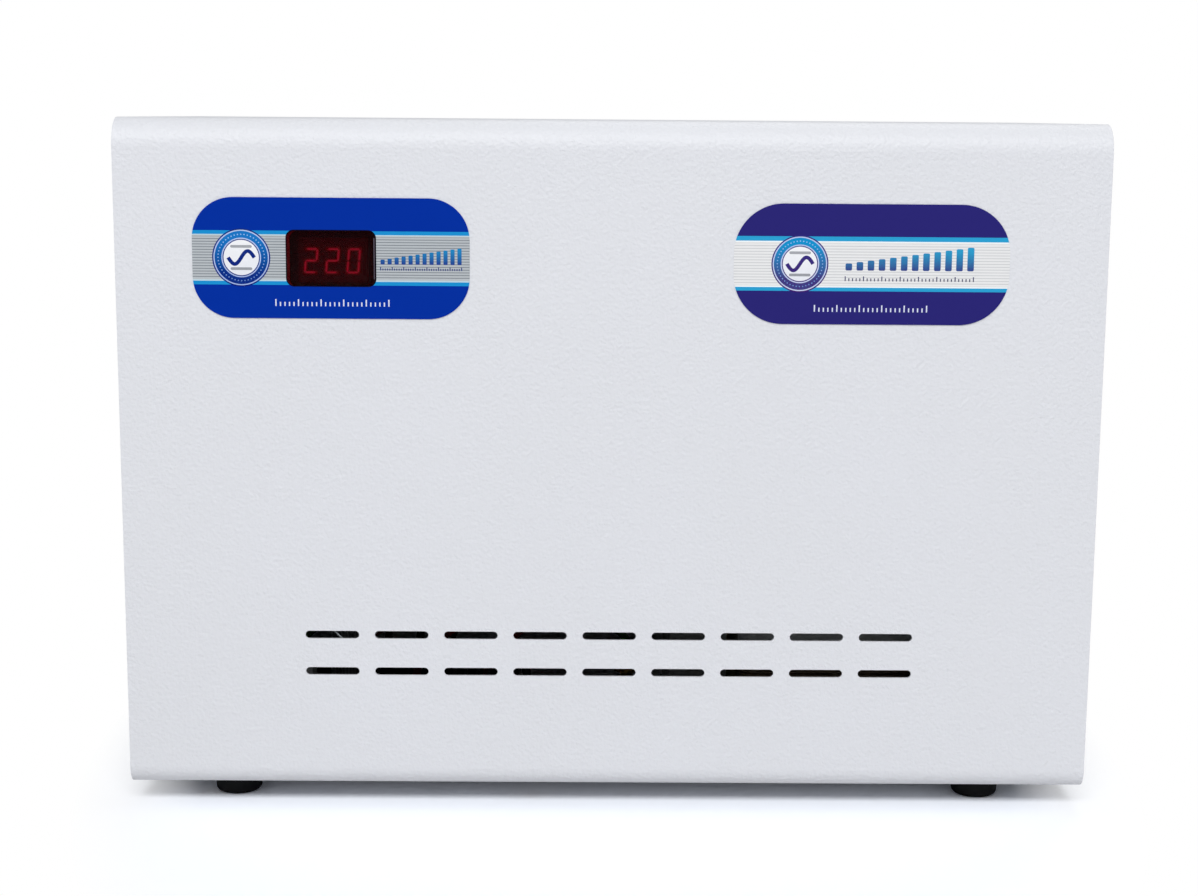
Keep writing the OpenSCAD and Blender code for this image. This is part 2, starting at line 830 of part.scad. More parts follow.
module base_bolts() {
    length = sheet_t + angle_t + base_bolt_d * (nut_share[1] + washer_share[1]) + 2 * cut;
    color(steel) in_case() at_base_bolts() mirror([0, 0, 1]) pan_screw(base_bolt_d, length);
}

module base_nuts() {
    color(steel) in_case() at_base_bolts() translate([0, 0, sheet_t + angle_t]) {
        washer(base_bolt_d);
        translate([0, 0, base_bolt_d * washer_share[1]]) hex_nut(base_bolt_d);
    }
}

// Thermal cut-out: a round bimetal switch that lies on the front of the winding
cutout_r = 8;
cutout_t = 4;
cutout_z = 2.5 * half_limb_w;
cutout_top_z = core_z + cutout_z + cutout_r;

module thermal_cutout() {
    y = -(limb_y + wound_y + wrap_t);
    color([0.15, 0.13, 0.12]) at_core() translate([0, y, cutout_z]) rotate([90, 0, 0]) {
        cylinder(cutout_t, r = cutout_r, $fn = mid);
        cylinder(1.5 * cutout_t, r = cutout_r * 0.7, $fn = mid);
        translate([0, 0, cutout_t / 4])
            cube([2.8 * cutout_r, cutout_r * 0.6, cutout_t / 2], center = true);
    }
}

// Control board, flat above the bottom sheet at the left
board_x = -(inner_side_x - board_gap) + board_l / 2;
board_y = sheet_t + board_gap + board_d / 2;
board_z = sheet_t + pillar_h;
pillar_d = 6;
pillar_stem_r = 2.4;
pillar_edge = 5;
small_screw_d = 3;

module at_board() {
    in_case() translate([board_x, board_y, board_z + board_t]) children();
}

module at_pillars() {
    for (x = [-1, 1], y = [-1, 1])
        translate([board_x + x * (board_l / 2 - pillar_edge), board_y + y * (board_d / 2 - pillar_edge), 0])
            children();
}

module control_board() {
    color("darkgreen") in_case() difference() {
        translate([board_x, board_y, board_z])
            linear_extrude(board_t) rounded_rect(board_l, board_d, pillar_edge / 2);
        at_pillars() translate([0, 0, board_z - cut])
            linear_extrude(board_t + 2 * cut) screw_hole(small_screw_d);
    }
}

module board_pillars() {
    color("gold") in_case() at_pillars() difference() {
        union() {
            translate([0, 0, sheet_t]) cylinder(pillar_h, d = pillar_d / cos(30), $fn = 6);
            cylinder(sheet_t + cut, r = pillar_stem_r, $fn = coarse);
        }
        translate([0, 0, sheet_t + cut])
            cylinder(pillar_h + cut, r = small_screw_d / 2 + pin_fit, $fn = coarse);
    }
}

module board_screws() {
    color(steel) in_case() at_pillars() translate([0, 0, board_z + board_t])
        pan_screw(small_screw_d, board_t + pillar_h * 0.6);
}

// Relays stand in a row along the rear edge of the board
relay_pitch = relay_w + 3 * fit;
relay_y = board_d / 2 - 2 * pillar_edge - relay_l / 2;
relay_xs = [for (i = [0:relay_count - 1]) (i - (relay_count - 1) / 2) * relay_pitch];
relay_edge = 1;

module relays() {
    color("royalblue") at_board() for (x = relay_xs) translate([x, relay_y, 0]) {
        linear_extrude(relay_h - relay_edge) rounded_rect(relay_w, relay_l, relay_edge);
        translate([0, 0, relay_h - relay_edge]) linear_extrude(relay_edge)
            rounded_rect(relay_w - 2 * relay_edge, relay_l - 2 * relay_edge, relay_edge);
    }
}

// Small supply transformer at the front left corner of the board
supply_w = 34;
supply_h = 28;
supply_t = 13;
supply_coil_d = 7;
supply_x = -board_l / 2 + 2 * pillar_edge + supply_w / 2;
supply_y = -board_d / 2 + pillar_edge + supply_coil_d + supply_t / 2;
supply_limb = supply_w / 6;

module supply_core() {
    color([0.35, 0.36, 0.38]) at_board() translate([supply_x, supply_y, 0]) difference() {
        translate([-supply_w / 2, -supply_t / 2, 0]) cube([supply_w, supply_t, supply_h]);
        for (x = [-2, 1]) translate([x * supply_limb, -supply_t / 2 - cut, supply_limb])
            cube([supply_limb, supply_t + 2 * cut, supply_h - 2 * supply_limb]);
    }
}

module supply_coil() {
    coil_h = supply_h - 2 * supply_limb - 2 * fit;
    color("lemonchiffon") at_board() translate([supply_x, supply_y, supply_limb + fit])
        difference() {
            linear_extrude(coil_h)
                rounded_rect(4 * supply_limb - 2 * fit, supply_t + 2 * supply_coil_d, supply_limb / 2);
            translate([0, 0, -cut]) linear_extrude(coil_h + 2 * cut)
                square([2 * supply_limb + 2 * fit, supply_t + 2 * fit], center = true);
        }
}

// Radius, height and place of each capacitor, from the middle of the board
cap_r = 6.5;
cap_h = 20;
cap_groove = 0.4;
cap_row_x = supply_x + supply_w / 2 + 2 * cap_r;
cap_row_y = -board_d / 2 + 2 * pillar_edge + cap_r;

module capacitor(r, h) {
    difference() {
        cylinder(h, r = r, $fn = mid);
        translate([0, 0, h * 0.12]) rotate_extrude($fn = mid)
            translate([r, 0]) circle(cap_groove, $fn = 16);
        for (a = [0, 90]) rotate([0, 0, a])
            translate([0, 0, h]) cube([1.4 * r, cap_groove, cap_groove], center = true);
    }
}

module capacitors() {
    color([0.1, 0.1, 0.14]) at_board() for (i = [0:2])
        translate([cap_row_x + i * 2.3 * cap_r, cap_row_y, 0])
            capacitor(cap_r * (1 - i * 0.15), cap_h * (1 - i * 0.2));
}

chip_w = 7.2;
chip_l = 35;
chip_h = 4;
chip_pins = 14;
chip_gap = 3;

module controller_chip() {
    pin_pitch = chip_l / chip_pins;
    color([0.1, 0.1, 0.1]) at_board()
        translate([ribbon_x + (socket_w + chip_l) / 2 + chip_gap, cap_row_y + cap_r + 1.6 * chip_w, 0])
            difference() {
                union() {
                    translate([-chip_l / 2, -chip_w / 2, pin_w]) cube([chip_l, chip_w, chip_h - pin_w]);
                    for (i = [0:chip_pins - 1], y = [-1, 1])
                        translate([(i - (chip_pins - 1) / 2) * pin_pitch - pin_w / 2,
                                y * chip_w / 2 - pin_w / 2, 0]) cube([pin_w, pin_w, chip_h / 2]);
                }
                translate([-chip_l / 2, 0, chip_h]) cylinder(pin_w * 2, r = pin_w * 2, center = true,
                    $fn = 16);
            }
}

// Finned heat sink with the regulator screwed to its front
sink_w = 24;
sink_h = 25;
sink_t = 2;
sink_fin_l = 9;
sink_fins = 6;
sink_x = board_l / 2 - 2 * pillar_edge - sink_w / 2;
sink_y = -board_d / 2 + 2 * pillar_edge + sink_t;
regulator_w = 10;

module heat_sink() {
    fin_pitch = (sink_w - sink_t) / (sink_fins - 1);
    color([0.2, 0.2, 0.22]) at_board() translate([sink_x, sink_y, 0]) linear_extrude(sink_h) {
        translate([-sink_w / 2, 0]) square([sink_w, sink_t]);
        for (i = [0:sink_fins - 1]) translate([-sink_w / 2 + i * fin_pitch, 0])
            square([sink_t * 0.6, sink_fin_l]);
    }
}

module regulator() {
    tab = 1.3;
    color([0.12, 0.12, 0.13]) at_board() translate([sink_x, sink_y, 0]) {
        translate([-regulator_w / 2, -tab, sink_h * 0.3])
            cube([regulator_w, tab, sink_h * 0.6]);
        translate([-regulator_w / 2, -3.5 * tab, sink_h * 0.3])
            cube([regulator_w, 2.5 * tab, sink_h * 0.36]);
        for (i = [-1:1]) translate([i * regulator_w / 4 - pin_w / 2, -2 * tab, 0])
            cube([pin_w, pin_w, sink_h * 0.3]);
        translate([0, -tab, sink_h * 0.78]) rotate([90, 0, 0])
            cylinder(tab, r = 2 * tab, $fn = coarse);
    }
}

// Tabs for the heavy leads: one in front of each relay and one at the right end
tab_w = 6.3;
tab_h = 8;
tab_t = 0.8;
tab_y = relay_y - relay_l / 2 - tab_w / 2;
tab_xs = concat(relay_xs, [board_l / 2 - tab_w]);

module lead_tabs() {
    color("silver") at_board() for (x = tab_xs) translate([x, tab_y, 0])
        difference() {
            union() {
                translate([-tab_w / 2, -tab_t / 2, 0]) cube([tab_w, tab_t, tab_h]);
                translate([-tab_w / 2, -tab_w / 4, 0]) cube([tab_w, tab_w / 2, tab_t]);
            }
            translate([0, 0, tab_h * 0.65]) rotate([90, 0, 0])
                cylinder(2 * tab_t, r = tab_t, center = true, $fn = 16);
        }
}

socket_w = 20;
socket_d = 6;
socket_h = 8;
ribbon_w = 16;
ribbon_t = 1;
ribbon_x = -left_label_x - board_x;
socket_y = supply_y + supply_t / 2 + supply_coil_d + socket_d / 2 + 2 * fit;
display_socket_z = -(display_board_h / 2 - socket_d);

module ribbon_socket() {
    color("white") {
        at_board() translate([ribbon_x, socket_y, 0]) socket();
        at_display(display_board_y + board_t) translate([0, 0, display_socket_z])
            rotate([-90, 0, 0]) socket();
    }
}

module socket() {
    difference() {
        translate([-socket_w / 2, -socket_d / 2, 0]) cube([socket_w, socket_d, socket_h]);
        translate([-ribbon_w / 2 - fit, -ribbon_t / 2 - fit, socket_h / 2])
            cube([ribbon_w + 2 * fit, ribbon_t + 2 * fit, socket_h]);
    }
}

// Terminal block: barrier walls between the ways, an ear with a screw at each end
ear_l = 11;
block_l = ways * way_pitch + 2 * ear_l;
block_d = 24;
block_base_h = 9;
block_h = 20;
wall_t = 2;
foot_nut_space = 6;
block_gap = 3;
block_x = board_x - board_l / 2 + block_l / 2 + foot_nut_space;
block_y = board_y + board_d / 2 + block_gap + block_d / 2;
clamp_t = 1;
breaker_x = block_x + breaker_shift;

module at_block() {
    in_case() translate([block_x, block_y, sheet_t]) children();
}

module at_terminal_fixings() {
    for (x = [-1, 1]) translate([block_x + x * (block_l - ear_l) / 2, block_y, 0]) children();
}

module at_ways() {
    for (i = [0:ways - 1]) translate([(i - (ways - 1) / 2) * way_pitch, 0, 0]) children();
}

module terminal_block() {
    color([0.1, 0.1, 0.11]) at_block() difference() {
        union() {
            translate([-block_l / 2, -block_d / 2, 0]) cube([block_l, block_d, block_base_h / 2]);
            translate([-block_l / 2 + ear_l, -block_d / 2, 0])
                cube([block_l - 2 * ear_l, block_d, block_base_h]);
            for (i = [0:ways]) translate([(i - ways / 2) * way_pitch - wall_t / 2, -block_d / 2, 0])
                cube([wall_t, block_d, block_h]);
            translate([-block_l / 2 + ear_l, -wall_t / 2, 0])
                cube([block_l - 2 * ear_l, wall_t, block_h * 0.8]);
        }
        for (x = [-1, 1]) translate([x * (block_l - ear_l) / 2, 0, -cut])
            linear_extrude(block_base_h) screw_hole(screw_d);
        at_ways() for (y = [-1, 1])
            translate([0, y * clamp_screw_y, block_base_h - clamp_screw_l])
                cylinder(block_h, r = small_screw_d / 2 + pin_fit, $fn = coarse);
    }
}

clamp_screw_l = 6;
clamp_screw_y = wall_t / 2 + fit + small_screw_d;

module terminal_clamps() {
    clamp_w = way_pitch - wall_t - 2 * fit;
    clamp_l = block_d / 2 - wall_t / 2 - 2 * fit;
    color("goldenrod") at_block() at_ways() for (y = [-1, 1])
        translate([0, y * (wall_t / 2 + fit + clamp_l / 2), block_base_h]) difference() {
            translate([-clamp_w / 2, -clamp_l / 2, 0]) cube([clamp_w, clamp_l, clamp_t]);
            translate([0, y * (clamp_screw_y - wall_t / 2 - fit - clamp_l / 2), -cut])
                cylinder(clamp_t + 2 * cut, r = small_screw_d / 2 + pin_fit, $fn = coarse);
        }
}

module terminal_screws() {
    color("silver") at_block() at_ways() for (y = [-1, 1])
        translate([0, y * clamp_screw_y, block_base_h + clamp_t])
            pan_screw(small_screw_d, clamp_t + clamp_screw_l * 0.8);
}

module terminal_fixings() {
    color(steel) in_case() at_terminal_fixings() {
        translate([0, 0, sheet_t + block_base_h / 2])
            pan_screw(screw_d, block_base_h / 2 + sheet_t + screw_d * nut_share[1] + cut);
        mirror([0, 0, 1]) hex_nut(screw_d);
    }
}

// Breaker on its rail, with the rail on a bracket behind the rear panel
rail_w = 35;
rail_hat_w = 25;
rail_h = 7.5;
rail_t = 1;
rail_end = 3;
rail_l = 2 * pole_w + 2 * rail_end;
hook = 3.3;
hook_lip = 2;
bracket_t = 1.5;
bracket_gap = 3.5;
bracket_h = 34;
rail_face_y = case_d + nose_proud - nose_d;
rail_back_y = rail_face_y + hook - rail_h;
bracket_x = pole_w + bracket_gap;
bracket_screw_z = bracket_h / 2 - screw_d * 1.4;

module at_breaker(y) {
    in_case() translate([breaker_x, y, breaker_z]) children();
}

bracket_screw_places = [for (x = [-1, 1], z = [-1, 1])
    [breaker_x + x * (bracket_x + (bracket_t + flange_w) / 2), breaker_z + z * bracket_screw_z]];

module at_bracket_screws() {
    for (p = bracket_screw_places) translate([p[0], case_d, p[1]]) children();
}

module breaker_bracket() {
    back = rail_back_y - bracket_t;
    front = case_d - sheet_t;
    color(steel) in_case() difference() {
        translate([breaker_x, 0, breaker_z - bracket_h / 2]) linear_extrude(bracket_h) {
            translate([-bracket_x - bracket_t, back]) square([2 * (bracket_x + bracket_t), bracket_t]);
            for (x = [0, 1]) mirror([x, 0]) {
                translate([bracket_x, back]) square([bracket_t, front - back]);
                translate([bracket_x, front - bracket_t]) square([flange_w, bracket_t]);
            }
        }
        at_bracket_screws() upright(sheet_t + bracket_t + cut) screw_hole(screw_d);
        translate([breaker_x, rail_back_y, breaker_z]) at_rail_rivets()
            cylinder(2 * bracket_t + 2 * cut, r = rivet_r + pin_fit, center = true, $fn = coarse);
    }
}

rivet_r = 1.6;

module at_rail_rivets() {
    for (x = [-1, 1]) translate([x * pole_w * 0.6, 0, 0]) rotate([90, 0, 0]) children();
}

// Top-hat rail, riveted to the bracket
module breaker_rail() {
    color("silver") at_breaker(rail_back_y) {
        along_x(rail_l) {
            translate([0, -rail_hat_w / 2]) square([rail_t, rail_hat_w]);
            for (z = [0, 1]) mirror([0, z]) {
                translate([0, rail_hat_w / 2 - rail_t]) square([rail_h, rail_t]);
                translate([rail_h - rail_t, rail_hat_w / 2 - rail_t])
                    square([rail_t, (rail_w - rail_hat_w) / 2 + rail_t]);
            }
        }
        at_rail_rivets() {
            translate([0, 0, -rail_t * 1.6]) cylinder(rail_t * 0.8, r = 2 * rivet_r, $fn = coarse);
            translate([0, 0, -rail_t]) cylinder(rail_t + bracket_t, r = rivet_r, $fn = coarse);
        }
    }
}

// Lever: two drums on one pin, with a handle on each that a bar joins
drum_r = 6.4;
drum_gap = 0.4;
drum_w = 7.6;
lever_pin_r = 1.5;
lever_axis_depth = 4.6;
handle_l = 12.5;
handle_t = 4;
handle_tip_t = 2.6;
lever_reach = drum_r + handle_l;
lever_y = nose_d - lever_axis_depth;
lever_slot_h = 19;
lever_pin_end = 2;
lever_pin_half = pole_w - lever_pin_end;
// Where the joining bar starts, in a share of the lever's reach
bridge_share = 0.72;

breaker_chamfer = 1.5;
terminal_hole_r = 3.1;
wire_hole_w = 9;
wire_hole_d = 11;

module breaker_section() {
    c = breaker_chamfer;
    b = breaker_h / 2;
    n = nose_h / 2;
    hook_h = rail_w / 2 + fit;
    difference() {
        polygon([[0, -b + c], [c, -b], [shoulder_d - c, -b], [shoulder_d, -b + c],
            [shoulder_d, -n], [nose_d - c, -n], [nose_d, -n + c], [nose_d, n - c],
            [nose_d - c, n], [shoulder_d, n], [shoulder_d, b - c], [shoulder_d - c, b],
            [c, b], [0, b - c]]);
        translate([-cut, -hook_h + hook_lip]) square([hook + cut, 2 * (hook_h - hook_lip)]);
        translate([hook - rail_t - fit, -hook_h]) square([rail_t + fit, 2 * hook_h]);
    }
}

module breaker_body() {
    color([0.90, 0.90, 0.88]) at_breaker(rail_face_y) difference() {
        along_x(2 * pole_w) breaker_section();
        // Seam between the two poles
        for (z = [-1, 1]) translate([0, nose_d / 2, z * breaker_h / 2])
            cube([seam_r, 2 * nose_d, seam_r], center = true);
        translate([0, nose_d, 0]) cube([seam_r, seam_r, breaker_h], center = true);
        for (x = [-1, 1]) translate([x * pole_w / 2, 0, 0]) {
            // Drum pocket and the slot that the handle swings in
            translate([0, lever_y, 0]) rotate([0, 90, 0])
                cylinder(drum_w + 2 * drum_gap, r = drum_r + drum_gap, center = true, $fn = fine);
            translate([-drum_w / 2 - drum_gap, lever_y, -lever_slot_h / 2])
                cube([drum_w + 2 * drum_gap, lever_axis_depth + cut, lever_slot_h]);
            // Screw wells on the shoulders and wire entries above and below
            for (z = [-1, 1]) {
                translate([0, shoulder_d, z * (nose_h / 2 + breaker_h / 2) / 2])
                    rotate([90, 0, 0])
                    cylinder(shoulder_d / 4, r = terminal_hole_r, $fn = coarse);
                translate([-wire_hole_w / 2, shoulder_d / 2 - wire_hole_d / 2,
                        z * breaker_h / 2 - wire_hole_d])
                    cube([wire_hole_w, wire_hole_d, 2 * wire_hole_d]);
            }
        }
        translate([0, lever_y, 0]) rotate([0, 90, 0])
            cylinder(2 * lever_pin_half + 2 * pin_fit, r = lever_pin_r + pin_fit, center = true,
                $fn = mid);
    }
}

module lever_section() {
    circle(drum_r, $fn = fine);
    polygon([[0, -handle_t / 2], [lever_reach - handle_tip_t / 2, -handle_tip_t / 2],
        [lever_reach - handle_tip_t / 2, handle_tip_t / 2], [0, handle_t / 2]]);
    translate([lever_reach - handle_tip_t / 2, 0]) circle(handle_tip_t / 2, $fn = coarse);
}

module breaker_lever() {
    color([0.1, 0.12, 0.16]) at_breaker(rail_face_y) translate([0, lever_y, 0])
        rotate([lever_on, 0, 0]) {
            for (x = [-1, 1]) translate([x * pole_w / 2, 0, 0]) along_x(drum_w) lever_section();
            rotate([0, 90, 0])
                cylinder(2 * lever_pin_half, r = lever_pin_r, center = true, $fn = mid);
            translate([-(pole_w + drum_w) / 2, lever_reach * bridge_share, -handle_tip_t / 2])
                cube([pole_w + drum_w, lever_reach * (1 - bridge_share) - handle_tip_t / 2,
                    handle_tip_t]);
        }
}

// Cable glands
gland_first = 30;
gland_xs = [breaker_x - gland_first, breaker_x - gland_first - gland_pitch];
gland_hex = 24;
gland_thread_l = 9;
gland_nut_t = 5;
gland_wall = 2;
seal_l = 12;
cap_hex_l = 9;
cap_in_r = cable_r + 2 * gland_wall;

module at_glands() {
    in_case() for (x = gland_xs) translate([x, case_d, gland_z]) rotate([-90, 0, 0]) children();
}

module hex_prism(flats, h) {
    cylinder(h, d = flats / cos(30), $fn = 6);
}

// Body: hexagon against the panel, thread through it, collar that holds the seal
module gland_bodies() {
    color([0.13, 0.13, 0.14]) at_glands() difference() {
        union() {
            hex_prism(gland_hex, gland_flange_t);
            translate([0, 0, -sheet_t - gland_thread_l])
                cylinder(sheet_t + gland_thread_l + cut, r = gland_r, $fn = fine);
            cylinder(gland_flange_t + cap_hex_l, r = cap_in_r, $fn = mid);
        }
        translate([0, 0, -2 * gland_thread_l])
            cylinder(3 * gland_thread_l + gland_cap_l, r = cable_r + gland_wall, $fn = mid);
    }
}

module gland_nuts() {
    color([0.16, 0.16, 0.17]) at_glands() translate([0, 0, -sheet_t - gland_nut_t]) difference() {
        hex_prism(gland_hex + gland_wall, gland_nut_t);
        translate([0, 0, -cut]) cylinder(gland_nut_t + 2 * cut, r = gland_r + pin_fit, $fn = fine);
    }
}

module gland_seals() {
    color([0.22, 0.22, 0.22]) at_glands() translate([0, 0, gland_flange_t + cap_hex_l - seal_l * 0.7])
        difference() {
            cylinder(seal_l, r = cable_r + gland_wall - pin_fit, $fn = mid);
            translate([0, 0, -cut]) cylinder(seal_l + 2 * cut, r = cable_r, $fn = mid);
        }
}

// Cap nut: hexagon, then a dome down to the cable
module gland_caps() {
    dome_r = gland_hex / 2 - gland_wall / 2;
    mouth_r = cable_r + gland_wall + fit;
    color([0.13, 0.13, 0.14]) at_glands() translate([0, 0, gland_flange_t]) difference() {
        union() {
            hex_prism(gland_hex, cap_hex_l);
            translate([0, 0, cap_hex_l])
                cylinder(gland_cap_l - cap_hex_l, dome_r, mouth_r + gland_wall, $fn = mid);
        }
        translate([0, 0, -cut])
            cylinder(cap_hex_l + cut + fit, r = cap_in_r + pin_fit, $fn = mid);
        translate([0, 0, -cut]) cylinder(gland_cap_l + 2 * cut, r = mouth_r, $fn = mid);
    }
}

// Earth stud beside the transformer
earth_d = 5;
earth_x = core_x - core_w / 2 - 3 * earth_d;
earth_y = case_d - screw_inset;
earth_l = 20;

module earth_stud() {
    color("goldenrod") in_case() translate([earth_x, earth_y, 0]) {
        difference() {
            union() {
                mirror([0, 0, 1]) cylinder(earth_d * 0.5, r = earth_d, $fn = coarse);
                cylinder(earth_l, r = earth_d / 2, $fn = coarse);
                translate([0, 0, sheet_t]) hex_prism(earth_d * nut_share[0], earth_d * nut_share[1]);
                translate([0, 0, sheet_t + earth_d * 1.4])
                    hex_prism(earth_d * nut_share[0], earth_d * nut_share[1]);
            }
            translate([0, 0, -earth_d * 0.5]) cube([3 * earth_d, earth_d / 5, earth_d / 2], center = true);
        }
    }
}

// Leads: tubes swept along smooth curves between named places
lead_r = 1.7;
lead_sides = 8;
lead_steps = 12;
lead_rise = 40;

function curve(a, b, c, d, t) =
    pow(1 - t, 3) * a + 3 * pow(1 - t, 2) * t * b + 3 * (1 - t) * t * t * c + pow(t, 3) * d;
function unit(v) = v / norm(v);
// Route from a to b: straight stretches sa and sb at its ends, a smooth curve between them
function route(a, sa, ta, b, sb, tb) =
    let(c = a + sa, d = b + sb)
    concat([a], [for (i = [0:lead_steps]) curve(c, c + ta, d + tb, d, i / lead_steps)], [b]);
function tangent(p, i) = unit(p[min(i + 1, len(p) - 1)] - p[max(i - 1, 0)]);
// Side vectors carried along the route without twist
function carried(p, i, n) = let(t = tangent(p, i), m = unit(n - t * (n * t)))
    i == len(p) - 1 ? [m] : concat([m], carried(p, i + 1, m));
function first_side(t) = abs(t[0]) < 0.8 ? cross(t, [1, 0, 0]) : cross(t, [0, 1, 0]);

module tube(p, r_side, r_flat) {
    n = lead_sides;
    sides = carried(p, 0, unit(first_side(tangent(p, 0))));
    points = [for (i = [0:len(p) - 1]) let(s = sides[i], w = cross(tangent(p, i), s))
        for (j = [0:n - 1])
            p[i] + r_side * cos(360 * (j + 0.5) / n) * s + r_flat * sin(360 * (j + 0.5) / n) * w];
    walls = [for (i = [0:len(p) - 2], j = [0:n - 1]) let(k = (j + 1) % n)
        [i * n + j, (i + 1) * n + j, (i + 1) * n + k, i * n + k]];
    caps = [[for (j = [0:n - 1]) j], [for (j = [n - 1:-1:0]) (len(p) - 1) * n + j]];
    polyhedron(points, concat(walls, caps), convexity = 4);
}

up = [0, 0, 1];
wrap_front_y = core_y - limb_y - wound_y - wrap_t;
board_top_z = board_z + board_t;
// Room above the breaker for the loops of its upper leads
loop_room = top_in_z - breaker_z - breaker_h / 2;

function way_point(i, side) = [block_x + (i - (ways - 1) / 2) * way_pitch,
    block_y + side * (block_d / 2 - 2 * fit - lead_r), sheet_t + block_base_h + clamp_t];
function tab_point(i) = [board_x + tab_xs[i], board_y + tab_y, board_top_z + tab_h];
function pole_point(x, z) = [breaker_x + x * pole_w / 2, rail_face_y + shoulder_d / 2,
    breaker_z + z * (breaker_h / 2 - wire_hole_d)];

// Taps leave the front of the winding and run to the tabs in front of the relays
module tap_leads() {
    color("red") in_case() for (i = [0:relay_count - 1]) {
        start = [core_x - half_limb_w + i * 3 * lead_r, wrap_front_y,
            cutout_top_z + (relay_count - i) * 2.2 * lead_r];
        tube(route(start, [0, -2 * lead_r, 0], [-lead_rise * 0.6, -lead_rise * 0.3, 0],
            tab_point(relay_count - 1 - i), up * lead_r, up * lead_rise * (1 + 0.2 * i)), lead_r, lead_r);
    }
}

// Two leads feed the breaker from below, two leave it at the top, one joins the board
module mains_leads() {
    color("black") in_case() {
        for (x = [0, 1]) {
            tube(route(way_point(ways - 2 + x, 1), up * 2 * lead_r, up * lead_rise,
                pole_point(2 * x - 1, -1), -up * wire_hole_d, -up * lead_rise), lead_r, lead_r);
            tube(route(way_point(ways - 4 + x, 1), up * 2 * lead_r,
                up * (breaker_z + loop_room * (x + 0.5)),
                pole_point(2 * x - 1, 1), up * wire_hole_d, up * loop_room), lead_r, lead_r);
        }
        tube(route(tab_point(relay_count), up * lead_r, up * lead_rise,
            way_point(ways - 1, -1), up * 2 * lead_r, up * lead_rise), lead_r, lead_r);
    }
}

module earth_lead() {
    color("limegreen") in_case() tube(route(
        way_point(0, 1), up * 2 * lead_r, [0, lead_rise / 2, lead_rise],
        [earth_x, earth_y, earth_l], up * lead_r, up * lead_rise / 3), lead_r, lead_r);
}

module display_ribbon() {
    color("lightgray") in_case() tube(route(
        [board_x + ribbon_x, board_y + socket_y, board_top_z + socket_h / 2 + fit],
        up * socket_h / 2, up * lead_rise * 0.3,
        [-left_label_x, display_board_y + board_t + socket_h / 2 + fit, label_z + display_socket_z],
        [0, socket_h / 2, 0], [0, lead_rise * 0.3, 0]), ribbon_t / 2, ribbon_w / 2);
}

cover();
left_side_panel();
right_side_panel();
rear_panel();
press_nuts();
cover_screws();
rear_screws();
feet();
foot_screws();
foot_nuts();
left_label();
right_label();
display_filter();
display_module();
lit_segments();
dark_segments();
display_board();
display_studs();
display_spacers();
display_nuts();
e_plates();
i_plates();
bobbin();
winding();
winding_wrap();
clamp_angles();
core_bolts();
core_nuts();
base_bolts();
base_nuts();
thermal_cutout();
control_board();
board_pillars();
board_screws();
relays();
supply_core();
supply_coil();
capacitors();
controller_chip();
heat_sink();
regulator();
lead_tabs();
ribbon_socket();
terminal_block();
terminal_clamps();
terminal_screws();
terminal_fixings();
breaker_bracket();
breaker_rail();
breaker_body();
breaker_lever();
gland_bodies();
gland_nuts();
gland_seals();
gland_caps();
earth_stud();
earth_lead();
tap_leads();
mains_leads();
display_ribbon();
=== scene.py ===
import math
import bmesh
import bpy
from mathutils import Matrix, Vector


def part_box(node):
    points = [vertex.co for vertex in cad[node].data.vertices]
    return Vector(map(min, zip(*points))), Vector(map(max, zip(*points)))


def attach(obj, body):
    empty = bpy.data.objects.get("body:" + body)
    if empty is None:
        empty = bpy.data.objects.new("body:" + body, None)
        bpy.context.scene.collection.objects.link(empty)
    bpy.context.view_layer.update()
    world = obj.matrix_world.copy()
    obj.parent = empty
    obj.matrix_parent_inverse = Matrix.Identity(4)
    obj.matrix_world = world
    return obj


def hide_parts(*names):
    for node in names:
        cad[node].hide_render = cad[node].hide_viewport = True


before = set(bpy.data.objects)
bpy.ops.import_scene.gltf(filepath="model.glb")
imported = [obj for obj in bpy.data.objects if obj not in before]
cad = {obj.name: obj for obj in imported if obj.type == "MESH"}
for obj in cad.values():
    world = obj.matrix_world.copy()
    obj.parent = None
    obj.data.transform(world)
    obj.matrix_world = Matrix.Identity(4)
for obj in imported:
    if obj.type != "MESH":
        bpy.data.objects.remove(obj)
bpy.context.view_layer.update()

# Cabinet: a cover folded from one sheet, two side trays and a flat rear panel of
# 1 mm steel. They are powder coated in a pale cool grey, and the coat has baked to a
# fine orange peel that rounds the cut edges of the sheet and of the slots.

MM = 0.001
MIX_A, MIX_B, MIX_OUT = 6, 7, 2  # the colour sockets of a Mix node


def linear(code):
    """Turns an sRGB hex colour into linear red, green, blue and alpha."""
    parts = [int(code[i:i + 2], 16) / 255 for i in (0, 2, 4)]
    return [c / 12.92 if c <= 0.04045 else ((c + 0.055) / 1.055) ** 2.4 for c in parts] + [1]


def add(tree, kind, settings, sockets):
    """Adds a node, sets it and fills its sockets with values or links."""
    made = tree.nodes.new("ShaderNode" + kind)
    for key, value in settings.items():
        setattr(made, key, value)
    for key, value in sockets.items():
        if isinstance(value, bpy.types.NodeSocket):
            tree.links.new(value, made.inputs[key])
        else:
            made.inputs[key].default_value = value
    return made


def finish(name):
    """Starts a material and returns it with its node tree and the place on the piece in mm."""
    made = bpy.data.materials.new(name)
    made.use_nodes = True
    tree = made.node_tree
    tree.nodes.clear()
    place = add(tree, "TexCoord", {}, {}).outputs["Object"]
    in_mm = add(tree, "VectorMath", {"operation": "SCALE"}, {0: place, "Scale": 1 / MM})
    return made, tree, in_mm.outputs[0]


def shade(tree, sockets):
    """Ends a material with its surface shader."""
    surface = add(tree, "BsdfPrincipled", {}, sockets)
    add(tree, "OutputMaterial", {}, {"Surface": surface.outputs[0]})


def dress(material, *names):
    """Gives CAD nodes their finish."""
    for name in names:
        for slot in cad[name].material_slots:
            slot.material = material


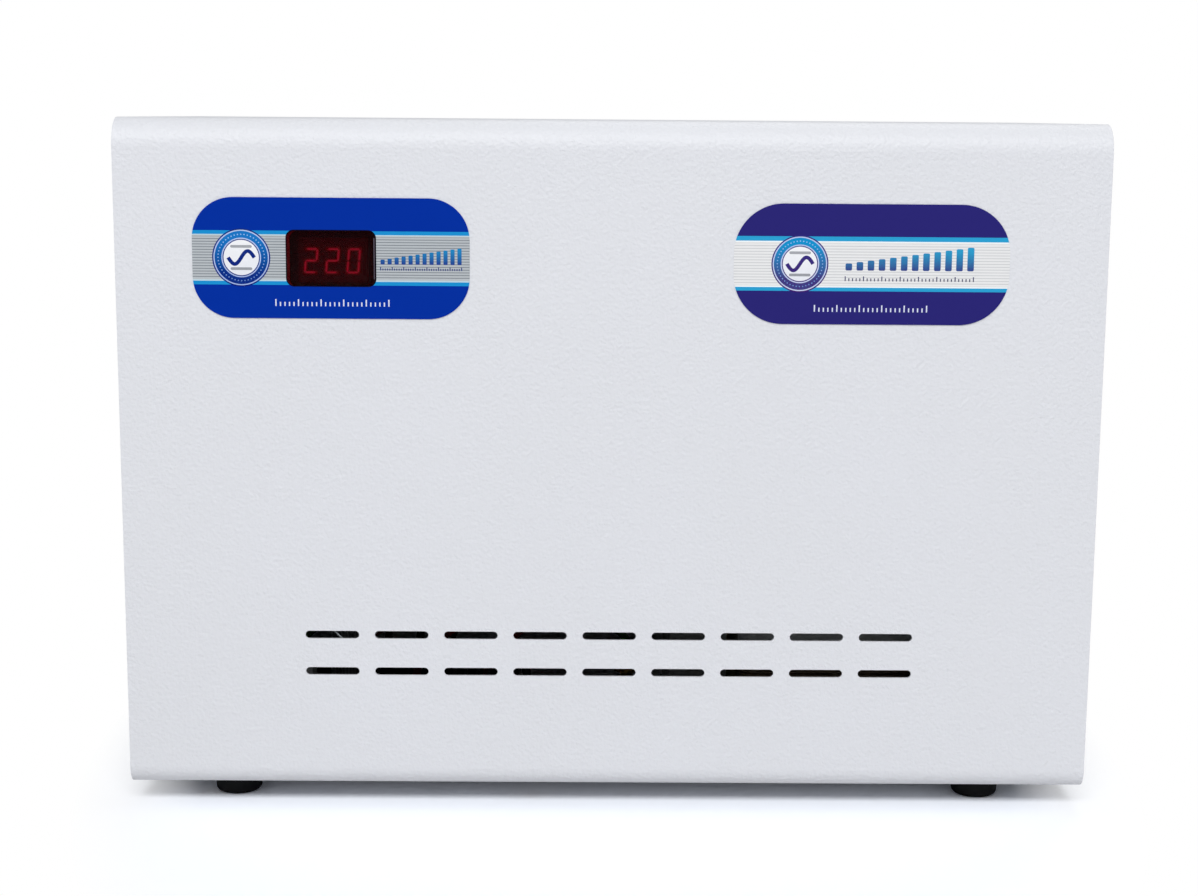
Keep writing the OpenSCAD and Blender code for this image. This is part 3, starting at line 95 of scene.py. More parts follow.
# The peel is drawn deeper than it is, so that it shows from where the camera stands.
PEEL_MM = 1.3
PEEL_DEPTH = 0.38 * MM
CLOUD_MM = 60
EDGE_R = 0.15 * MM

powder_coat, tree, place = finish("powder_coat_on_steel")
peel = add(tree, "TexNoise", {},
           {"Vector": place, "Scale": 1 / PEEL_MM, "Detail": 2, "Roughness": 0.45})
cloud = add(tree, "TexNoise", {}, {"Vector": place, "Scale": 1 / CLOUD_MM, "Detail": 1})
tint = add(tree, "Mix", {"data_type": "RGBA"},
           {"Factor": cloud.outputs["Fac"], MIX_A: linear("DEE0E5"), MIX_B: linear("E0E2E8")})
edge = add(tree, "Bevel", {"samples": 4}, {"Radius": EDGE_R})
bump = add(tree, "Bump", {}, {"Height": peel.outputs["Fac"], "Strength": 1.0,
                              "Distance": PEEL_DEPTH, "Normal": edge.outputs[0]})
shade(tree, {"Base Color": tint.outputs[MIX_OUT], "Roughness": 0.5, "IOR": 1.5,
             "Normal": bump.outputs[0]})
dress(powder_coat, "cover", "left_side_panel", "right_side_panel", "rear_panel")

# Screws, nuts, press nuts, bracket and rail: steel, zinc plated and passivated. The
# plating is thin and slightly cloudy, with a faint blue cast and fine drawing marks.

SPOT_MM = 2.5
DRAWN_MM = 0.25

zinc, tree, place = finish("zinc_plated_steel")
cloud = add(tree, "TexNoise", {}, {"Vector": place, "Scale": 1 / SPOT_MM, "Detail": 4})
tint = add(tree, "Mix", {"data_type": "RGBA"},
           {"Factor": cloud.outputs["Fac"], MIX_A: linear("C9CCD1"), MIX_B: linear("A9ADB4")})
rough = add(tree, "MapRange", {},
            {"Value": cloud.outputs["Fac"], "To Min": 0.24, "To Max": 0.42})
grain = add(tree, "TexNoise", {}, {"Vector": place, "Scale": 1 / DRAWN_MM, "Detail": 2})
edge = add(tree, "Bevel", {"samples": 4}, {"Radius": 0.1 * MM})
bump = add(tree, "Bump", {}, {"Height": grain.outputs["Fac"], "Strength": 0.5,
                              "Distance": 0.01 * MM, "Normal": edge.outputs[0]})
shade(tree, {"Base Color": tint.outputs[MIX_OUT], "Metallic": 1.0,
             "Roughness": rough.outputs[0], "Normal": bump.outputs[0]})
dress(zinc, "press_nuts", "cover_screws", "rear_screws", "foot_screws", "foot_nuts",
      "display_nuts", "core_bolts", "core_nuts", "base_bolts", "base_nuts", "board_screws",
      "terminal_screws", "terminal_fixings", "breaker_bracket", "breaker_rail")

# Feet and gland seals: moulded black rubber, matt with a faint bloom on the surface. The
# feet are screwed to the bottom, and a seal sits in each gland under its cap nut.

BLOOM_MM = 3
PORE_MM = 0.3

rubber, tree, place = finish("moulded_rubber")
bloom = add(tree, "TexNoise", {}, {"Vector": place, "Scale": 1 / BLOOM_MM, "Detail": 5})
tint = add(tree, "Mix", {"data_type": "RGBA"},
           {"Factor": bloom.outputs["Fac"], MIX_A: linear("040609"), MIX_B: linear("090B0F")})
grain = add(tree, "TexNoise", {}, {"Vector": place, "Scale": 1 / PORE_MM, "Detail": 2})
bump = add(tree, "Bump", {},
           {"Height": grain.outputs["Fac"], "Strength": 0.6, "Distance": 0.03 * MM})
shade(tree, {"Base Color": tint.outputs[MIX_OUT], "Roughness": 0.75, "IOR": 1.52,
             "Specular IOR Level": 0.2, "Normal": bump.outputs[0]})
dress(rubber, "feet", "gland_seals")

# Labels: printed film with a satin face, glued to the cover. A pale lined band runs
# between two cyan lines, on a deep blue ground at the left and a violet one at the right.

# The fine lines are printed 0.8 mm apart and drawn a fifth coarser, so that they show.
BLUE_PITCH, VIOLET_PITCH = 0.95, 1.0
LINE_HALF = 0.16  # half a fine line's width, as a share of the pitch
LINE_CLEAR = 0.3  # mm without lines at each edge of the band
SATIN_MM = 0.4


def film(name, ground, cyan, bright, pale, fine, pitch, heights, low, high):
    """A printed film whose bands follow the height: heights are their lower edges in mm."""
    made, tree, place = finish(name)
    z = add(tree, "SeparateXYZ", {}, {0: place}).outputs[2]
    share = add(tree, "MapRange", {}, {"Value": z, "From Min": low, "From Max": high})
    bands = add(tree, "ValToRGB", {}, {0: share.outputs[0]})
    bands.color_ramp.interpolation = "CONSTANT"
    colours = [ground, cyan, bright, pale, bright, cyan, ground]
    while len(bands.color_ramp.elements) < len(colours):
        bands.color_ramp.elements.new(0.5)
    for element, height, colour in zip(bands.color_ramp.elements, [low] + heights, colours):
        element.position = (height - low) / (high - low)
        element.color = linear(colour)
    turn = add(tree, "Math", {"operation": "PINGPONG"}, {0: z, 1: pitch / 2})
    thin = add(tree, "Math", {"operation": "LESS_THAN"},
               {0: turn.outputs[0], 1: pitch * LINE_HALF})
    above = add(tree, "Math", {"operation": "GREATER_THAN"}, {0: z, 1: heights[2] + LINE_CLEAR})
    below = add(tree, "Math", {"operation": "LESS_THAN"}, {0: z, 1: heights[3] - LINE_CLEAR})
    inside = add(tree, "Math", {"operation": "MULTIPLY"},
                 {0: above.outputs[0], 1: below.outputs[0]})
    lined = add(tree, "Math", {"operation": "MULTIPLY"},
                {0: thin.outputs[0], 1: inside.outputs[0]})
    colour = add(tree, "Mix", {"data_type": "RGBA"},
                 {"Factor": lined.outputs[0], MIX_A: bands.outputs[0], MIX_B: linear(fine)})
    satin = add(tree, "TexNoise", {}, {"Vector": place, "Scale": 1 / SATIN_MM, "Detail": 1})
    bump = add(tree, "Bump", {},
               {"Height": satin.outputs["Fac"], "Strength": 0.3, "Distance": 0.01 * MM})
    shade(tree, {"Base Color": colour.outputs[MIX_OUT], "Roughness": 0.42, "IOR": 1.5,
                 "Specular IOR Level": 0.03, "Normal": bump.outputs[0]})
    return made


foot_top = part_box("feet")[1].z / MM
lowest, highest = [v.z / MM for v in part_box("left_label")]
edges = [foot_top + h for h in (183.83, 185.27, 185.65, 201.29, 201.67, 202.85)]
dress(film("printed_film_blue", "022F9D", "1C8FD0", "BCD6DE", "B7BDC2", "7F858B",
           BLUE_PITCH, edges, lowest, highest), "left_label")
lowest, highest = [v.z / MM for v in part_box("right_label")]
edges = [foot_top + h for h in (183.03, 184.4, 184.78, 200.27, 200.65, 202.25)]
dress(film("printed_film_violet", "2A2673", "2C9FD1", "F4FBFC", "E8E9EA", "CDCED1",
           VIOLET_PITCH, edges, lowest, highest), "right_label")

# Prints on the labels: an emblem with a wave in a ring of dots, a row of rising level
# bars and fine scales. They are screen printed, so each is a thin layer of ink. Their
# places are in mm, from the middle of the cabinet and from its bottom.

INK_T = 0.01 * MM
INK_LIFT = 0.002 * MM
MESH_MM = 0.7
UNEVEN = 0.25
CIRCLE_SIDES, DOT_SIDES, WAVE_STEPS = 96, 12, 48


def ink(name, low, high, z0, z1):
    """Screen ink that changes from one colour to the other with the height, z0 to z1 in mm,
    and is laid a little thicker here and thinner there."""
    made, tree, place = finish(name)
    z = add(tree, "SeparateXYZ", {}, {0: place}).outputs[2]
    share = add(tree, "MapRange", {}, {"Value": z, "From Min": z0, "From Max": z1})
    mesh_print = add(tree, "TexNoise", {}, {"Vector": place, "Scale": 1 / MESH_MM, "Detail": 1})
    mixed = add(tree, "Math", {"operation": "MULTIPLY_ADD", "use_clamp": True},
                {0: mesh_print.outputs["Fac"], 1: UNEVEN, 2: share.outputs[0]})
    colour = add(tree, "Mix", {"data_type": "RGBA"},
                 {"Factor": mixed.outputs[0], MIX_A: linear(low), MIX_B: linear(high)})
    shade(tree, {"Base Color": colour.outputs[MIX_OUT], "Roughness": 0.45, "IOR": 1.5,
                 "Specular IOR Level": 0.03})
    return made


def printed(name, shape, label, x, z, material, layer):
    """Sets a flat shape, drawn in mm around 0, on a label with its middle at x and z in mm."""
    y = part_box(label)[0].y - layer * (INK_T + INK_LIFT) - INK_LIFT
    upright = Matrix.Rotation(math.pi / 2, 3, "X")
    bmesh.ops.scale(shape, vec=(MM, MM, MM), verts=shape.verts)
    bmesh.ops.rotate(shape, cent=(0, 0, 0), matrix=upright, verts=shape.verts)
    bmesh.ops.translate(shape, vec=(x * MM, y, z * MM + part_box("feet")[1].z), verts=shape.verts)
    bmesh.ops.recalc_face_normals(shape, faces=shape.faces)
    if shape.faces[0].normal.y > 0:
        bmesh.ops.reverse_faces(shape, faces=shape.faces)
    raised = bmesh.ops.extrude_face_region(shape, geom=shape.faces[:])
    bmesh.ops.translate(shape, vec=(0, -INK_T, 0),
                        verts=[v for v in raised["geom"] if isinstance(v, bmesh.types.BMVert)])
    bmesh.ops.recalc_face_normals(shape, faces=shape.faces)
    mesh = bpy.data.meshes.new(name)
    shape.to_mesh(mesh)
    shape.free()
    mesh.materials.append(material)
    piece = bpy.data.objects.new(name, mesh)
    bpy.context.scene.collection.objects.link(piece)
    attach(piece, "cabinet")


def ring(outer, inner):
    """A flat ring, or a disc where the inner radius is 0."""
    shape = bmesh.new()
    if not inner:
        bmesh.ops.create_circle(shape, cap_ends=True, segments=CIRCLE_SIDES, radius=outer)
        return shape
    for r in (outer, inner):
        bmesh.ops.create_circle(shape, segments=CIRCLE_SIDES, radius=r)
    bmesh.ops.bridge_loops(shape, edges=shape.edges)
    return shape


def dots(count, r, dot_r):
    """A ring of small round dots."""
    shape = bmesh.new()
    for i in range(count):
        turn = Matrix.Rotation(i * 2 * math.pi / count, 4, "Z") @ Matrix.Translation((r, 0, 0))
        bmesh.ops.create_circle(shape, cap_ends=True, segments=DOT_SIDES, radius=dot_r,
                                matrix=turn)
    return shape


def wave(half, height, thick):
    """One turn of a sine line, half its width to each side."""
    shape = bmesh.new()
    bmesh.ops.create_grid(shape, x_segments=WAVE_STEPS, y_segments=1, size=1)
    for v in shape.verts:
        x, side = v.co.x, v.co.y
        angle = math.pi * x
        slope = math.pi * height / half * math.cos(angle)
        across = Vector((-slope, 1, 0)).normalized() * side * thick / 2
        v.co = Vector((x * half, height * math.sin(angle), 0)) + across
    return shape


def bars(count, width, low, high, full=0.6, rounded=0.12):
    """Upright bars that rise from left to right and stand on one line. Each is as wide as
    its share of the pitch, full, and its corners are rounded by another share."""
    shape = bmesh.new()
    pitch = width / (count - 1 + full)
    for i in range(count):
        tall = low + (high - low) * i / (count - 1)
        at = Matrix.Translation(((i + full / 2) * pitch - width / 2, tall / 2 - high / 2, 0))
        size = Matrix.Diagonal((full * pitch / 2, tall / 2, 1, 1))
        bmesh.ops.create_grid(shape, x_segments=1, y_segments=1, size=1, matrix=at @ size)
    corners = [v for v in shape.verts if v.is_boundary]
    bmesh.ops.bevel(shape, geom=corners, offset=rounded * pitch, segments=3, profile=0.5,
                    affect="VERTICES", material=-1)
    return shape


def ticks(count, width, tall, thick, short=0.6):
    """A scale of upright strokes that stand on one line. Each fifth stroke is a long one,
    and the others have the share short of its height."""
    shape = bmesh.new()
    for i in range(count):
        h = tall if i % 5 == 0 else tall * short
        at = Matrix.Translation(((i / (count - 1) - 0.5) * width, h / 2 - tall / 2, 0))
        bmesh.ops.create_grid(shape, x_segments=1, y_segments=1, size=1,
                              matrix=at @ Matrix.Diagonal((thick / 2, h / 2, 1, 1)))
    return shape


def line(width, thick):
    """A flat bar with round ends."""
    shape = bmesh.new()
    bmesh.ops.create_grid(shape, x_segments=1, y_segments=1, size=1,
                          matrix=Matrix.Diagonal((width / 2, thick / 2, 1, 1)))
    bmesh.ops.bevel(shape, geom=shape.verts[:], offset=thick * 0.49, segments=6, profile=0.5,
                    affect="VERTICES", material=-1)
    return shape


# The emblem's rings, in mm inwards from its edge
GAP_IN, OUTLINE_IN = 0.3, 0.45
BAND_FROM, BAND_TO = 0.85, 3.25
LINE_FROM, DISC_FROM = 3.65, 4.0

for side, x, z, r, slot, top, low_colour, outline, gap in (
        ("left", -130.5, 193.5, 10.2, "blue_label", "1B74C2", "0A1878", "14307F", "9DB2E2"),
        ("right", 66.0, 192.7, 10.05, "violet_label", "148FCB", "46206F", "33327E", "CDD3EE")):
    z0, z1 = z + foot_top - r, z + foot_top + r
    ring_ink = ink(side + "_emblem_ink", low_colour, top, z0 + 5, z1 - 2)
    edge_ink = ink(side + "_outline_ink", low_colour, outline, z0, z1)
    gap_ink = ink(side + "_gap_ink", gap, "B8C8EC", z0, z1)
    dot_ink = ink(side + "_dot_ink", "5C80C8", "9CC4F0", z0, z1)
    pale_ink = ink(side + "_pale_ink", "DDE1EC", "F3F4F7", z0, z1)
    grey_ink = ink(side + "_grey_ink", "8E9198", "A9ACB2", z0, z1)
    dot_ring = dots(count=44, r=r - (BAND_FROM + BAND_TO) / 2, dot_r=0.22)
    for part, shape, material, rise, layer in (
            ("gap", ring(r - GAP_IN, 0), gap_ink, 0, 0),
            ("outline", ring(r, r - OUTLINE_IN), edge_ink, 0, 1),
            ("band", ring(r - BAND_FROM, r - BAND_TO), ring_ink, 0, 1),
            ("inner_line", ring(r - LINE_FROM, r - DISC_FROM), edge_ink, 0, 1),
            ("disc", ring(r - DISC_FROM, 0), pale_ink, 0, 1),
            ("dots", dot_ring, dot_ink, 0, 2),
            ("wave", wave(half=4.6, height=2.3, thick=1.3), edge_ink, 0, 2),
            ("upper_level", line(width=7.6, thick=0.95), grey_ink, 3.9, 2),
            ("lower_level", line(width=7.6, thick=0.95), grey_ink, -3.9, 2)):
        printed(side + "_emblem_" + part, shape, side + "_label", x, z + rise, material, layer)

# The box of the level bars, the middle and height of the small scale under them, and the
# ends and middle of the long scale
for side, slot, (x0, x1, z0, z1), (line_z, line_h), (from_x, to_x, scale_z), (top, low, dark) in (
        ("left", "blue_label", (-81.6, -53.1, 191.4, 197.2), (189.9, 1.2),
         (-118.6, -78.8, 177.75), ("2385BF", "2A2F86", "36427A")),
        ("right", "violet_label", (82.1, 127.4, 190.5, 198.8), (187.6, 1.7),
         (71.5, 111.2, 177.05), ("2C9CCB", "3A2A7C", "24242C"))):
    label = side + "_label"
    middle = (x0 + x1) / 2
    bar_ink = ink(side + "_bar_ink", low, top, z0 + foot_top, z1 + foot_top)
    line_ink = ink(side + "_line_ink", dark, "4A5084",
                   line_z + foot_top - line_h, line_z + foot_top + 3)
    scale_ink = ink(side + "_scale_ink", "C9D0EA", "E2E6F6",
                    scale_z + foot_top - 2, scale_z + foot_top + 2)
    printed(side + "_level_bars",
            bars(count=12, width=x1 - x0, low=(z1 - z0) * 0.3, high=z1 - z0),
            label, middle, (z0 + z1) / 2, bar_ink, 0)
    printed(side + "_bar_scale", ticks(count=36, width=x1 - x0, tall=line_h, thick=0.38),
            label, middle, line_z, line_ink, 0)
    printed(side + "_scale", ticks(count=26, width=to_x - from_x, tall=2.4, thick=0.45),
            label, (from_x + to_x) / 2, scale_z, scale_ink, 0)

# Window of the left label: a thin dark rim lies around the opening, and a thin paler line, a
# painted highlight on the edge of the cut film, stands just inside its right end.

WINDOW_R, RIM_W = 2.9, 0.35
CUT_H, CUT_W, CUT_IN = 14.5, 0.28, 0.75


def rim(width, height, radius, wide):
    """A flat frame around an opening with rounded corners."""
    shape = bmesh.new()
    bmesh.ops.create_grid(shape, x_segments=1, y_segments=1, size=1,
                          matrix=Matrix.Diagonal((width / 2 + wide, height / 2 + wide, 1, 1)))
    bmesh.ops.bevel(shape, geom=shape.verts[:], offset=radius + wide, segments=10, profile=0.5,
                    affect="VERTICES", material=-1)
    opening = shape.faces[:]
    bmesh.ops.inset_region(shape, faces=opening, thickness=wide, use_boundary=True,
                           use_even_offset=True)
    bmesh.ops.delete(shape, geom=opening, context="FACES")
    return shape


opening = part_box("display_filter")
opening_w, opening_h = (opening[1].x - opening[0].x) / MM, (opening[1].z - opening[0].z) / MM
middle_x = (opening[0].x + opening[1].x) / 2 / MM
middle_z = (opening[0].z + opening[1].z) / 2 / MM - foot_top

rim_dark = ink("window_rim_dark", "07060F", "0E0C1C", lowest, highest)
window_rim = rim(opening_w - 2 * RIM_W, opening_h - 2 * RIM_W, WINDOW_R - RIM_W, RIM_W)
printed("window_rim", window_rim, "display_filter", middle_x, middle_z, rim_dark, 0)

# Painted highlight: the pale line stands for light caught on the cut edge of the film.
cut_edge_highlight = ink("cut_edge_painted_highlight", "3C2C34", "6A6474", lowest, highest)
cut_edge = line(CUT_H, CUT_W)
bmesh.ops.rotate(cut_edge, cent=(0, 0, 0), matrix=Matrix.Rotation(math.pi / 2, 3, "Z"),
                 verts=cut_edge.verts)
printed("window_cut_edge_highlight", cut_edge, "display_filter", opening[1].x / MM - CUT_IN, middle_z,
        cut_edge_highlight, 1)

# Display: a clear red film in the label's window, and a three-digit module on its own board
# behind that. The module has a grey face; the lit bars glow red, and the soft red haze of their
# light on the face and the dark bars around them is painted there as a glow, with a faint painted
# red glow all over both.

# The film is clear and nearly flat, so the digits stay sharp. Its low IOR keeps the room's
# white off it.
FLOW_MM = 12

film_stain, tree, place = finish("clear_red_polyester")
flow = add(tree, "TexNoise", {}, {"Vector": place, "Scale": 1 / FLOW_MM, "Detail": 1})
bump = add(tree, "Bump", {},
           {"Height": flow.outputs["Fac"], "Strength": 0.3, "Distance": 0.05 * MM})
stained = add(tree, "BsdfPrincipled", {},
              {"Base Color": linear("8C0E22"), "Roughness": 0.05, "IOR": 1.12,
               "Specular IOR Level": 0.05, "Transmission Weight": 0.985,
               "Normal": bump.outputs[0]})
passed = add(tree, "BsdfTransparent", {}, {"Color": linear("BA5460")})
ray = add(tree, "LightPath", {}, {})
mixed = add(tree, "MixShader", {},
            {0: ray.outputs["Is Shadow Ray"], 1: stained.outputs[0], 2: passed.outputs[0]})
add(tree, "OutputMaterial", {}, {"Surface": mixed.outputs[0]})
dress(film_stain, "display_filter")

# The lit bars as runs from corner to corner, in halves of a digit's width and height. The
# 0 is two runs, with a gap where its dark middle bar lies.
DIGIT_W, DIGIT_H, DIGIT_PITCH = 3.85, 8.24, 7.5
SLANT = math.tan(math.radians(5))
GAP = 0.14
TWO = [(-1, 1), (1, 1), (1, 0), (-1, 0), (-1, -1), (1, -1)]
ZERO_TOP = [(-1, GAP), (-1, 1), (1, 1), (1, GAP)]
ZERO_FOOT = [(1, -GAP), (1, -1), (-1, -1), (-1, -GAP)]
HAZE_FROM = 0.1  # mm from a bar's middle line
STREAK_MM = 2


def off_stroke(tree, place):
    """The distance in mm from the middle lines of the lit bars."""
    low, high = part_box("display_module")
    least = None
    for i, path in ((0, TWO), (1, TWO), (2, ZERO_TOP), (2, ZERO_FOOT)):
        ends = []
        for across, along in path:
            x, z = across * DIGIT_W / 2 + (i - 1) * DIGIT_PITCH, along * DIGIT_H / 2
            ends.append(Vector(((low.x + high.x) / 2 / MM + x + z * SLANT, low.y / MM,
                                (low.z + high.z) / 2 / MM + z)))
        for start, end in zip(ends, ends[1:]):
            run = end - start
            away = add(tree, "VectorMath", {"operation": "SUBTRACT"}, {0: place, 1: start})
            share = add(tree, "VectorMath", {"operation": "DOT_PRODUCT"},
                        {0: away.outputs[0], 1: run / run.length_squared})
            held = add(tree, "Clamp", {}, {"Value": share.outputs["Value"]})
            foot = add(tree, "VectorMath", {"operation": "SCALE"},
                       {0: run, "Scale": held.outputs[0]})
            rest = add(tree, "VectorMath", {"operation": "DISTANCE"},
                       {0: away.outputs[0], 1: foot.outputs[0]})
            far = rest.outputs["Value"]
            if least:
                far = add(tree, "Math", {"operation": "MINIMUM"}, {0: least, 1: far}).outputs[0]
            least = far
    return least


def lit(name, dark, light, near, far, reach, glow):
    """Plastic of the module: it glows in the colour near at a lit bar's middle line, and in the
    colour far at the distance reach in mm and beyond. On the lit bars this is their own light; on
    the face and the dark bars it is painted glow."""
    made, tree, place = finish(name)
    cloud = add(tree, "TexNoise", {}, {"Vector": place, "Scale": 1 / STREAK_MM, "Detail": 3})
    tint = add(tree, "Mix", {"data_type": "RGBA"},
               {"Factor": cloud.outputs["Fac"], MIX_A: linear(dark), MIX_B: linear(light)})
    spread = add(tree, "MapRange", {"interpolation_type": "SMOOTHSTEP"},
                 {"Value": off_stroke(tree, place), "From Min": HAZE_FROM, "From Max": reach})
    haze = add(tree, "Mix", {"data_type": "RGBA"},
               {"Factor": spread.outputs[0], MIX_A: linear(near), MIX_B: linear(far)})
    shade(tree, {"Base Color": tint.outputs[MIX_OUT], "Roughness": 0.5,
                 "Emission Color": haze.outputs[MIX_OUT], "Emission Strength": glow})
    return made


# The face and the dark bars are no lamps: their red haze near the lit bars and their faint red
# further off are painted glow.
dress(lit("module_grey_abs_painted_glow", "342D2F", "3A3335", "A80410", "34060C", 1.25, 0.46),
      "display_module")
dress(lit("dark_segment_resin_painted_glow", "2C2628", "322C2E", "A80410", "24040A", 1.25, 0.46),
      "dark_segments")
dress(lit("lit_segment_resin", "705A5A", "786060", "E4FFFF", "86101C", 0.42, 0.9),
      "lit_segments")

# Boards: glass-fibre laminate under green solder resist, with the tracks showing as a
# slightly paler net and the weave as a fine relief. One sits on the studs behind the
# display, the other on pillars above the bottom.

NET_MM = 6
TRACK_STEP, TRACK_EDGE = 0.14, 0.08  # in shares of the net's width
WEAVE_MM = 0.25
WAVE_MM = 0.3  # a wave texture of scale 1 repeats about every 0.3 mm

laminate, tree, place = finish("green_solder_resist")
cells = add(tree, "TexVoronoi", {"distance": "MANHATTAN", "feature": "F1"},
            {"Vector": place, "Scale": 1 / NET_MM})
track = add(tree, "Math", {"operation": "PINGPONG"},
            {0: cells.outputs["Distance"], 1: TRACK_STEP})
shown = add(tree, "Math", {"operation": "GREATER_THAN"}, {0: track.outputs[0], 1: TRACK_EDGE})
tint = add(tree, "Mix", {"data_type": "RGBA"},
           {"Factor": shown.outputs[0], MIX_A: linear("0C4A22"), MIX_B: linear("17642F")})
weave = add(tree, "TexWave", {"bands_direction": "DIAGONAL"},
            {"Vector": place, "Scale": WAVE_MM / WEAVE_MM})
bump = add(tree, "Bump", {},
           {"Height": weave.outputs["Fac"], "Strength": 0.2, "Distance": 0.01 * MM})
shade(tree, {"Base Color": tint.outputs[MIX_OUT], "Roughness": 0.3, "IOR": 1.5,
             "Normal": bump.outputs[0]})
dress(laminate, "display_board", "control_board")

# Studs, pillars, earth stud, tabs and clamp plates: coppered weld studs, turned brass
# with its fine lathe rings, and tinned brass stampings.

TARNISH_MM = 3


def metal(name, dark, light, roughness, ring_mm):
    """A bare or plated metal with fine tool marks."""
    made, tree, place = finish(name)
    cloud = add(tree, "TexNoise", {}, {"Vector": place, "Scale": 1 / TARNISH_MM, "Detail": 4})
    tint = add(tree, "Mix", {"data_type": "RGBA"},
               {"Factor": cloud.outputs["Fac"], MIX_A: linear(dark), MIX_B: linear(light)})
    marks = add(tree, "TexWave", {"bands_direction": "Z"},
                {"Vector": place, "Scale": WAVE_MM / ring_mm, "Distortion": 0.5})
    edge = add(tree, "Bevel", {"samples": 4}, {"Radius": 0.1 * MM})
    bump = add(tree, "Bump", {}, {"Height": marks.outputs["Fac"], "Strength": 0.3,
                                  "Distance": 0.01 * MM, "Normal": edge.outputs[0]})
    shade(tree, {"Base Color": tint.outputs[MIX_OUT], "Metallic": 1.0, "Roughness": roughness,
                 "Normal": bump.outputs[0]})
    return made


dress(metal("coppered_steel", "B06A45", "C98B62", 0.35, 0.4), "display_studs")
dress(metal("turned_brass", "B28B3E", "D0AC5C", 0.28, 0.3), "board_pillars", "earth_stud")
dress(metal("tinned_brass", "B9B9B2", "D6D5CB", 0.32, 0.5), "lead_tabs", "terminal_clamps")

# Spacers and ribbon sockets: white nylon, moulded and slightly waxy. The spacers sit on
# the display's studs, and a socket is soldered to each of the two boards.

GRAINS = 30  # a cloud in the plastic is this many times as wide as its grain


def moulded(name, dark, light, grain_mm, roughness, depth=0.01 * MM):
    """Moulded plastic with a fine spark-eroded grain and soft edges."""
    made, tree, place = finish(name)
    grain = add(tree, "TexNoise", {}, {"Vector": place, "Scale": 1 / grain_mm, "Detail": 2})
    cloud = add(tree, "TexNoise", {},
                {"Vector": place, "Scale": 1 / (GRAINS * grain_mm), "Detail": 3})
    tint = add(tree, "Mix", {"data_type": "RGBA"},
               {"Factor": cloud.outputs["Fac"], MIX_A: linear(dark), MIX_B: linear(light)})
    edge = add(tree, "Bevel", {"samples": 4}, {"Radius": 0.2 * MM})
    bump = add(tree, "Bump", {}, {"Height": grain.outputs["Fac"], "Strength": 0.6,
                                  "Distance": depth, "Normal": edge.outputs[0]})
    shade(tree, {"Base Color": tint.outputs[MIX_OUT], "Roughness": roughness, "IOR": 1.5,
                 "Normal": bump.outputs[0]})
    return made


dress(moulded("white_nylon", "DAD7CA", "E6E3D8", 0.4, 0.45), "display_spacers", "ribbon_socket")

# Core: a stack of silicon steel plates, 0.5 mm each, dipped in varnish. The edges of the
# plates show as fine lines across the stack, drawn at every second plate. The varnish
# leaves them pale and hardly metallic to the eye.

PLATE_T = 0.5
VARNISH_MM = 8

core, tree, place = finish("varnished_core_plates")
y = add(tree, "SeparateXYZ", {}, {0: place}).outputs[1]
turn = add(tree, "Math", {"operation": "PINGPONG"}, {0: y, 1: PLATE_T})
cloud = add(tree, "TexNoise", {}, {"Vector": place, "Scale": 1 / VARNISH_MM, "Detail": 5})
tint = add(tree, "Mix", {"data_type": "RGBA"},
           {"Factor": cloud.outputs["Fac"], MIX_A: linear("CCD0D4"), MIX_B: linear("D4D6D6")})
bump = add(tree, "Bump", {},
           {"Height": turn.outputs[0], "Strength": 0.8, "Distance": 0.1 * MM})
shade(tree, {"Base Color": tint.outputs[MIX_OUT], "Metallic": 0.2, "Roughness": 0.45,
             "Coat Weight": 0.3, "Normal": bump.outputs[0]})
dress(core, "e_plates", "i_plates", "supply_core")

# Bobbin, winding and wrap: glass-filled nylon, enamelled copper wire of about 1.2 mm laid turn by
# turn, and a pale grey polyester film around its middle, creased where it is pulled tight. The
# film's grey is painted a little darker in the hollows of the creases, as painted shade.

TURN_D = 1.2
ENAMEL_MM = 5
CREASE_MM = 4

dress(moulded("glass_filled_nylon", "B9AE8C", "CFC6A6", 0.5, 0.55), "bobbin")

wire, tree, place = finish("enamelled_copper_wire")
z = add(tree, "SeparateXYZ", {}, {0: place}).outputs[2]
turn = add(tree, "Math", {"operation": "PINGPONG"}, {0: z, 1: TURN_D / 2})
round_turn = add(tree, "Math", {"operation": "SQRT"}, {0: turn.outputs[0]})
cloud = add(tree, "TexNoise", {}, {"Vector": place, "Scale": 1 / ENAMEL_MM, "Detail": 3})
tint = add(tree, "Mix", {"data_type": "RGBA"},
           {"Factor": cloud.outputs["Fac"], MIX_A: linear("A28E7C"), MIX_B: linear("B49E88")})
bump = add(tree, "Bump", {},
           {"Height": round_turn.outputs[0], "Strength": 1.0, "Distance": 0.5 * MM})
shade(tree, {"Base Color": tint.outputs[MIX_OUT], "Metallic": 0.6, "Roughness": 0.35,
             "Coat Weight": 0.5, "Normal": bump.outputs[0]})
dress(wire, "winding")

tape, tree, place = finish("grey_polyester_film_painted_crease_shade")
crease = add(tree, "TexNoise", {},
             {"Vector": place, "Scale": 1 / CREASE_MM, "Detail": 3, "Distortion": 1.5})
# Painted shade: the film's grey is darker in the hollows of the creases and paler on their folds.
tint = add(tree, "Mix", {"data_type": "RGBA"},
           {"Factor": crease.outputs["Fac"], MIX_A: linear("D6DCE0"), MIX_B: linear("E4E9EC")})
bump = add(tree, "Bump", {},
           {"Height": crease.outputs["Fac"], "Strength": 0.7, "Distance": 0.2 * MM})
shade(tree, {"Base Color": tint.outputs[MIX_OUT], "Roughness": 0.22, "IOR": 1.6,
             "Normal": bump.outputs[0]})
dress(tape, "winding_wrap", "supply_coil")

# Clamp angles and heat sink: dip-painted steel that the core bolts pull against the
# plates, and black anodised aluminium with the fine lines that its extrusion leaves.

DRAW_W_MM, DRAW_L_MM = 0.25, 20

dress(moulded("dip_paint", "1C2326", "262E31", 0.8, 0.4, 0.03 * MM), "clamp_angles")

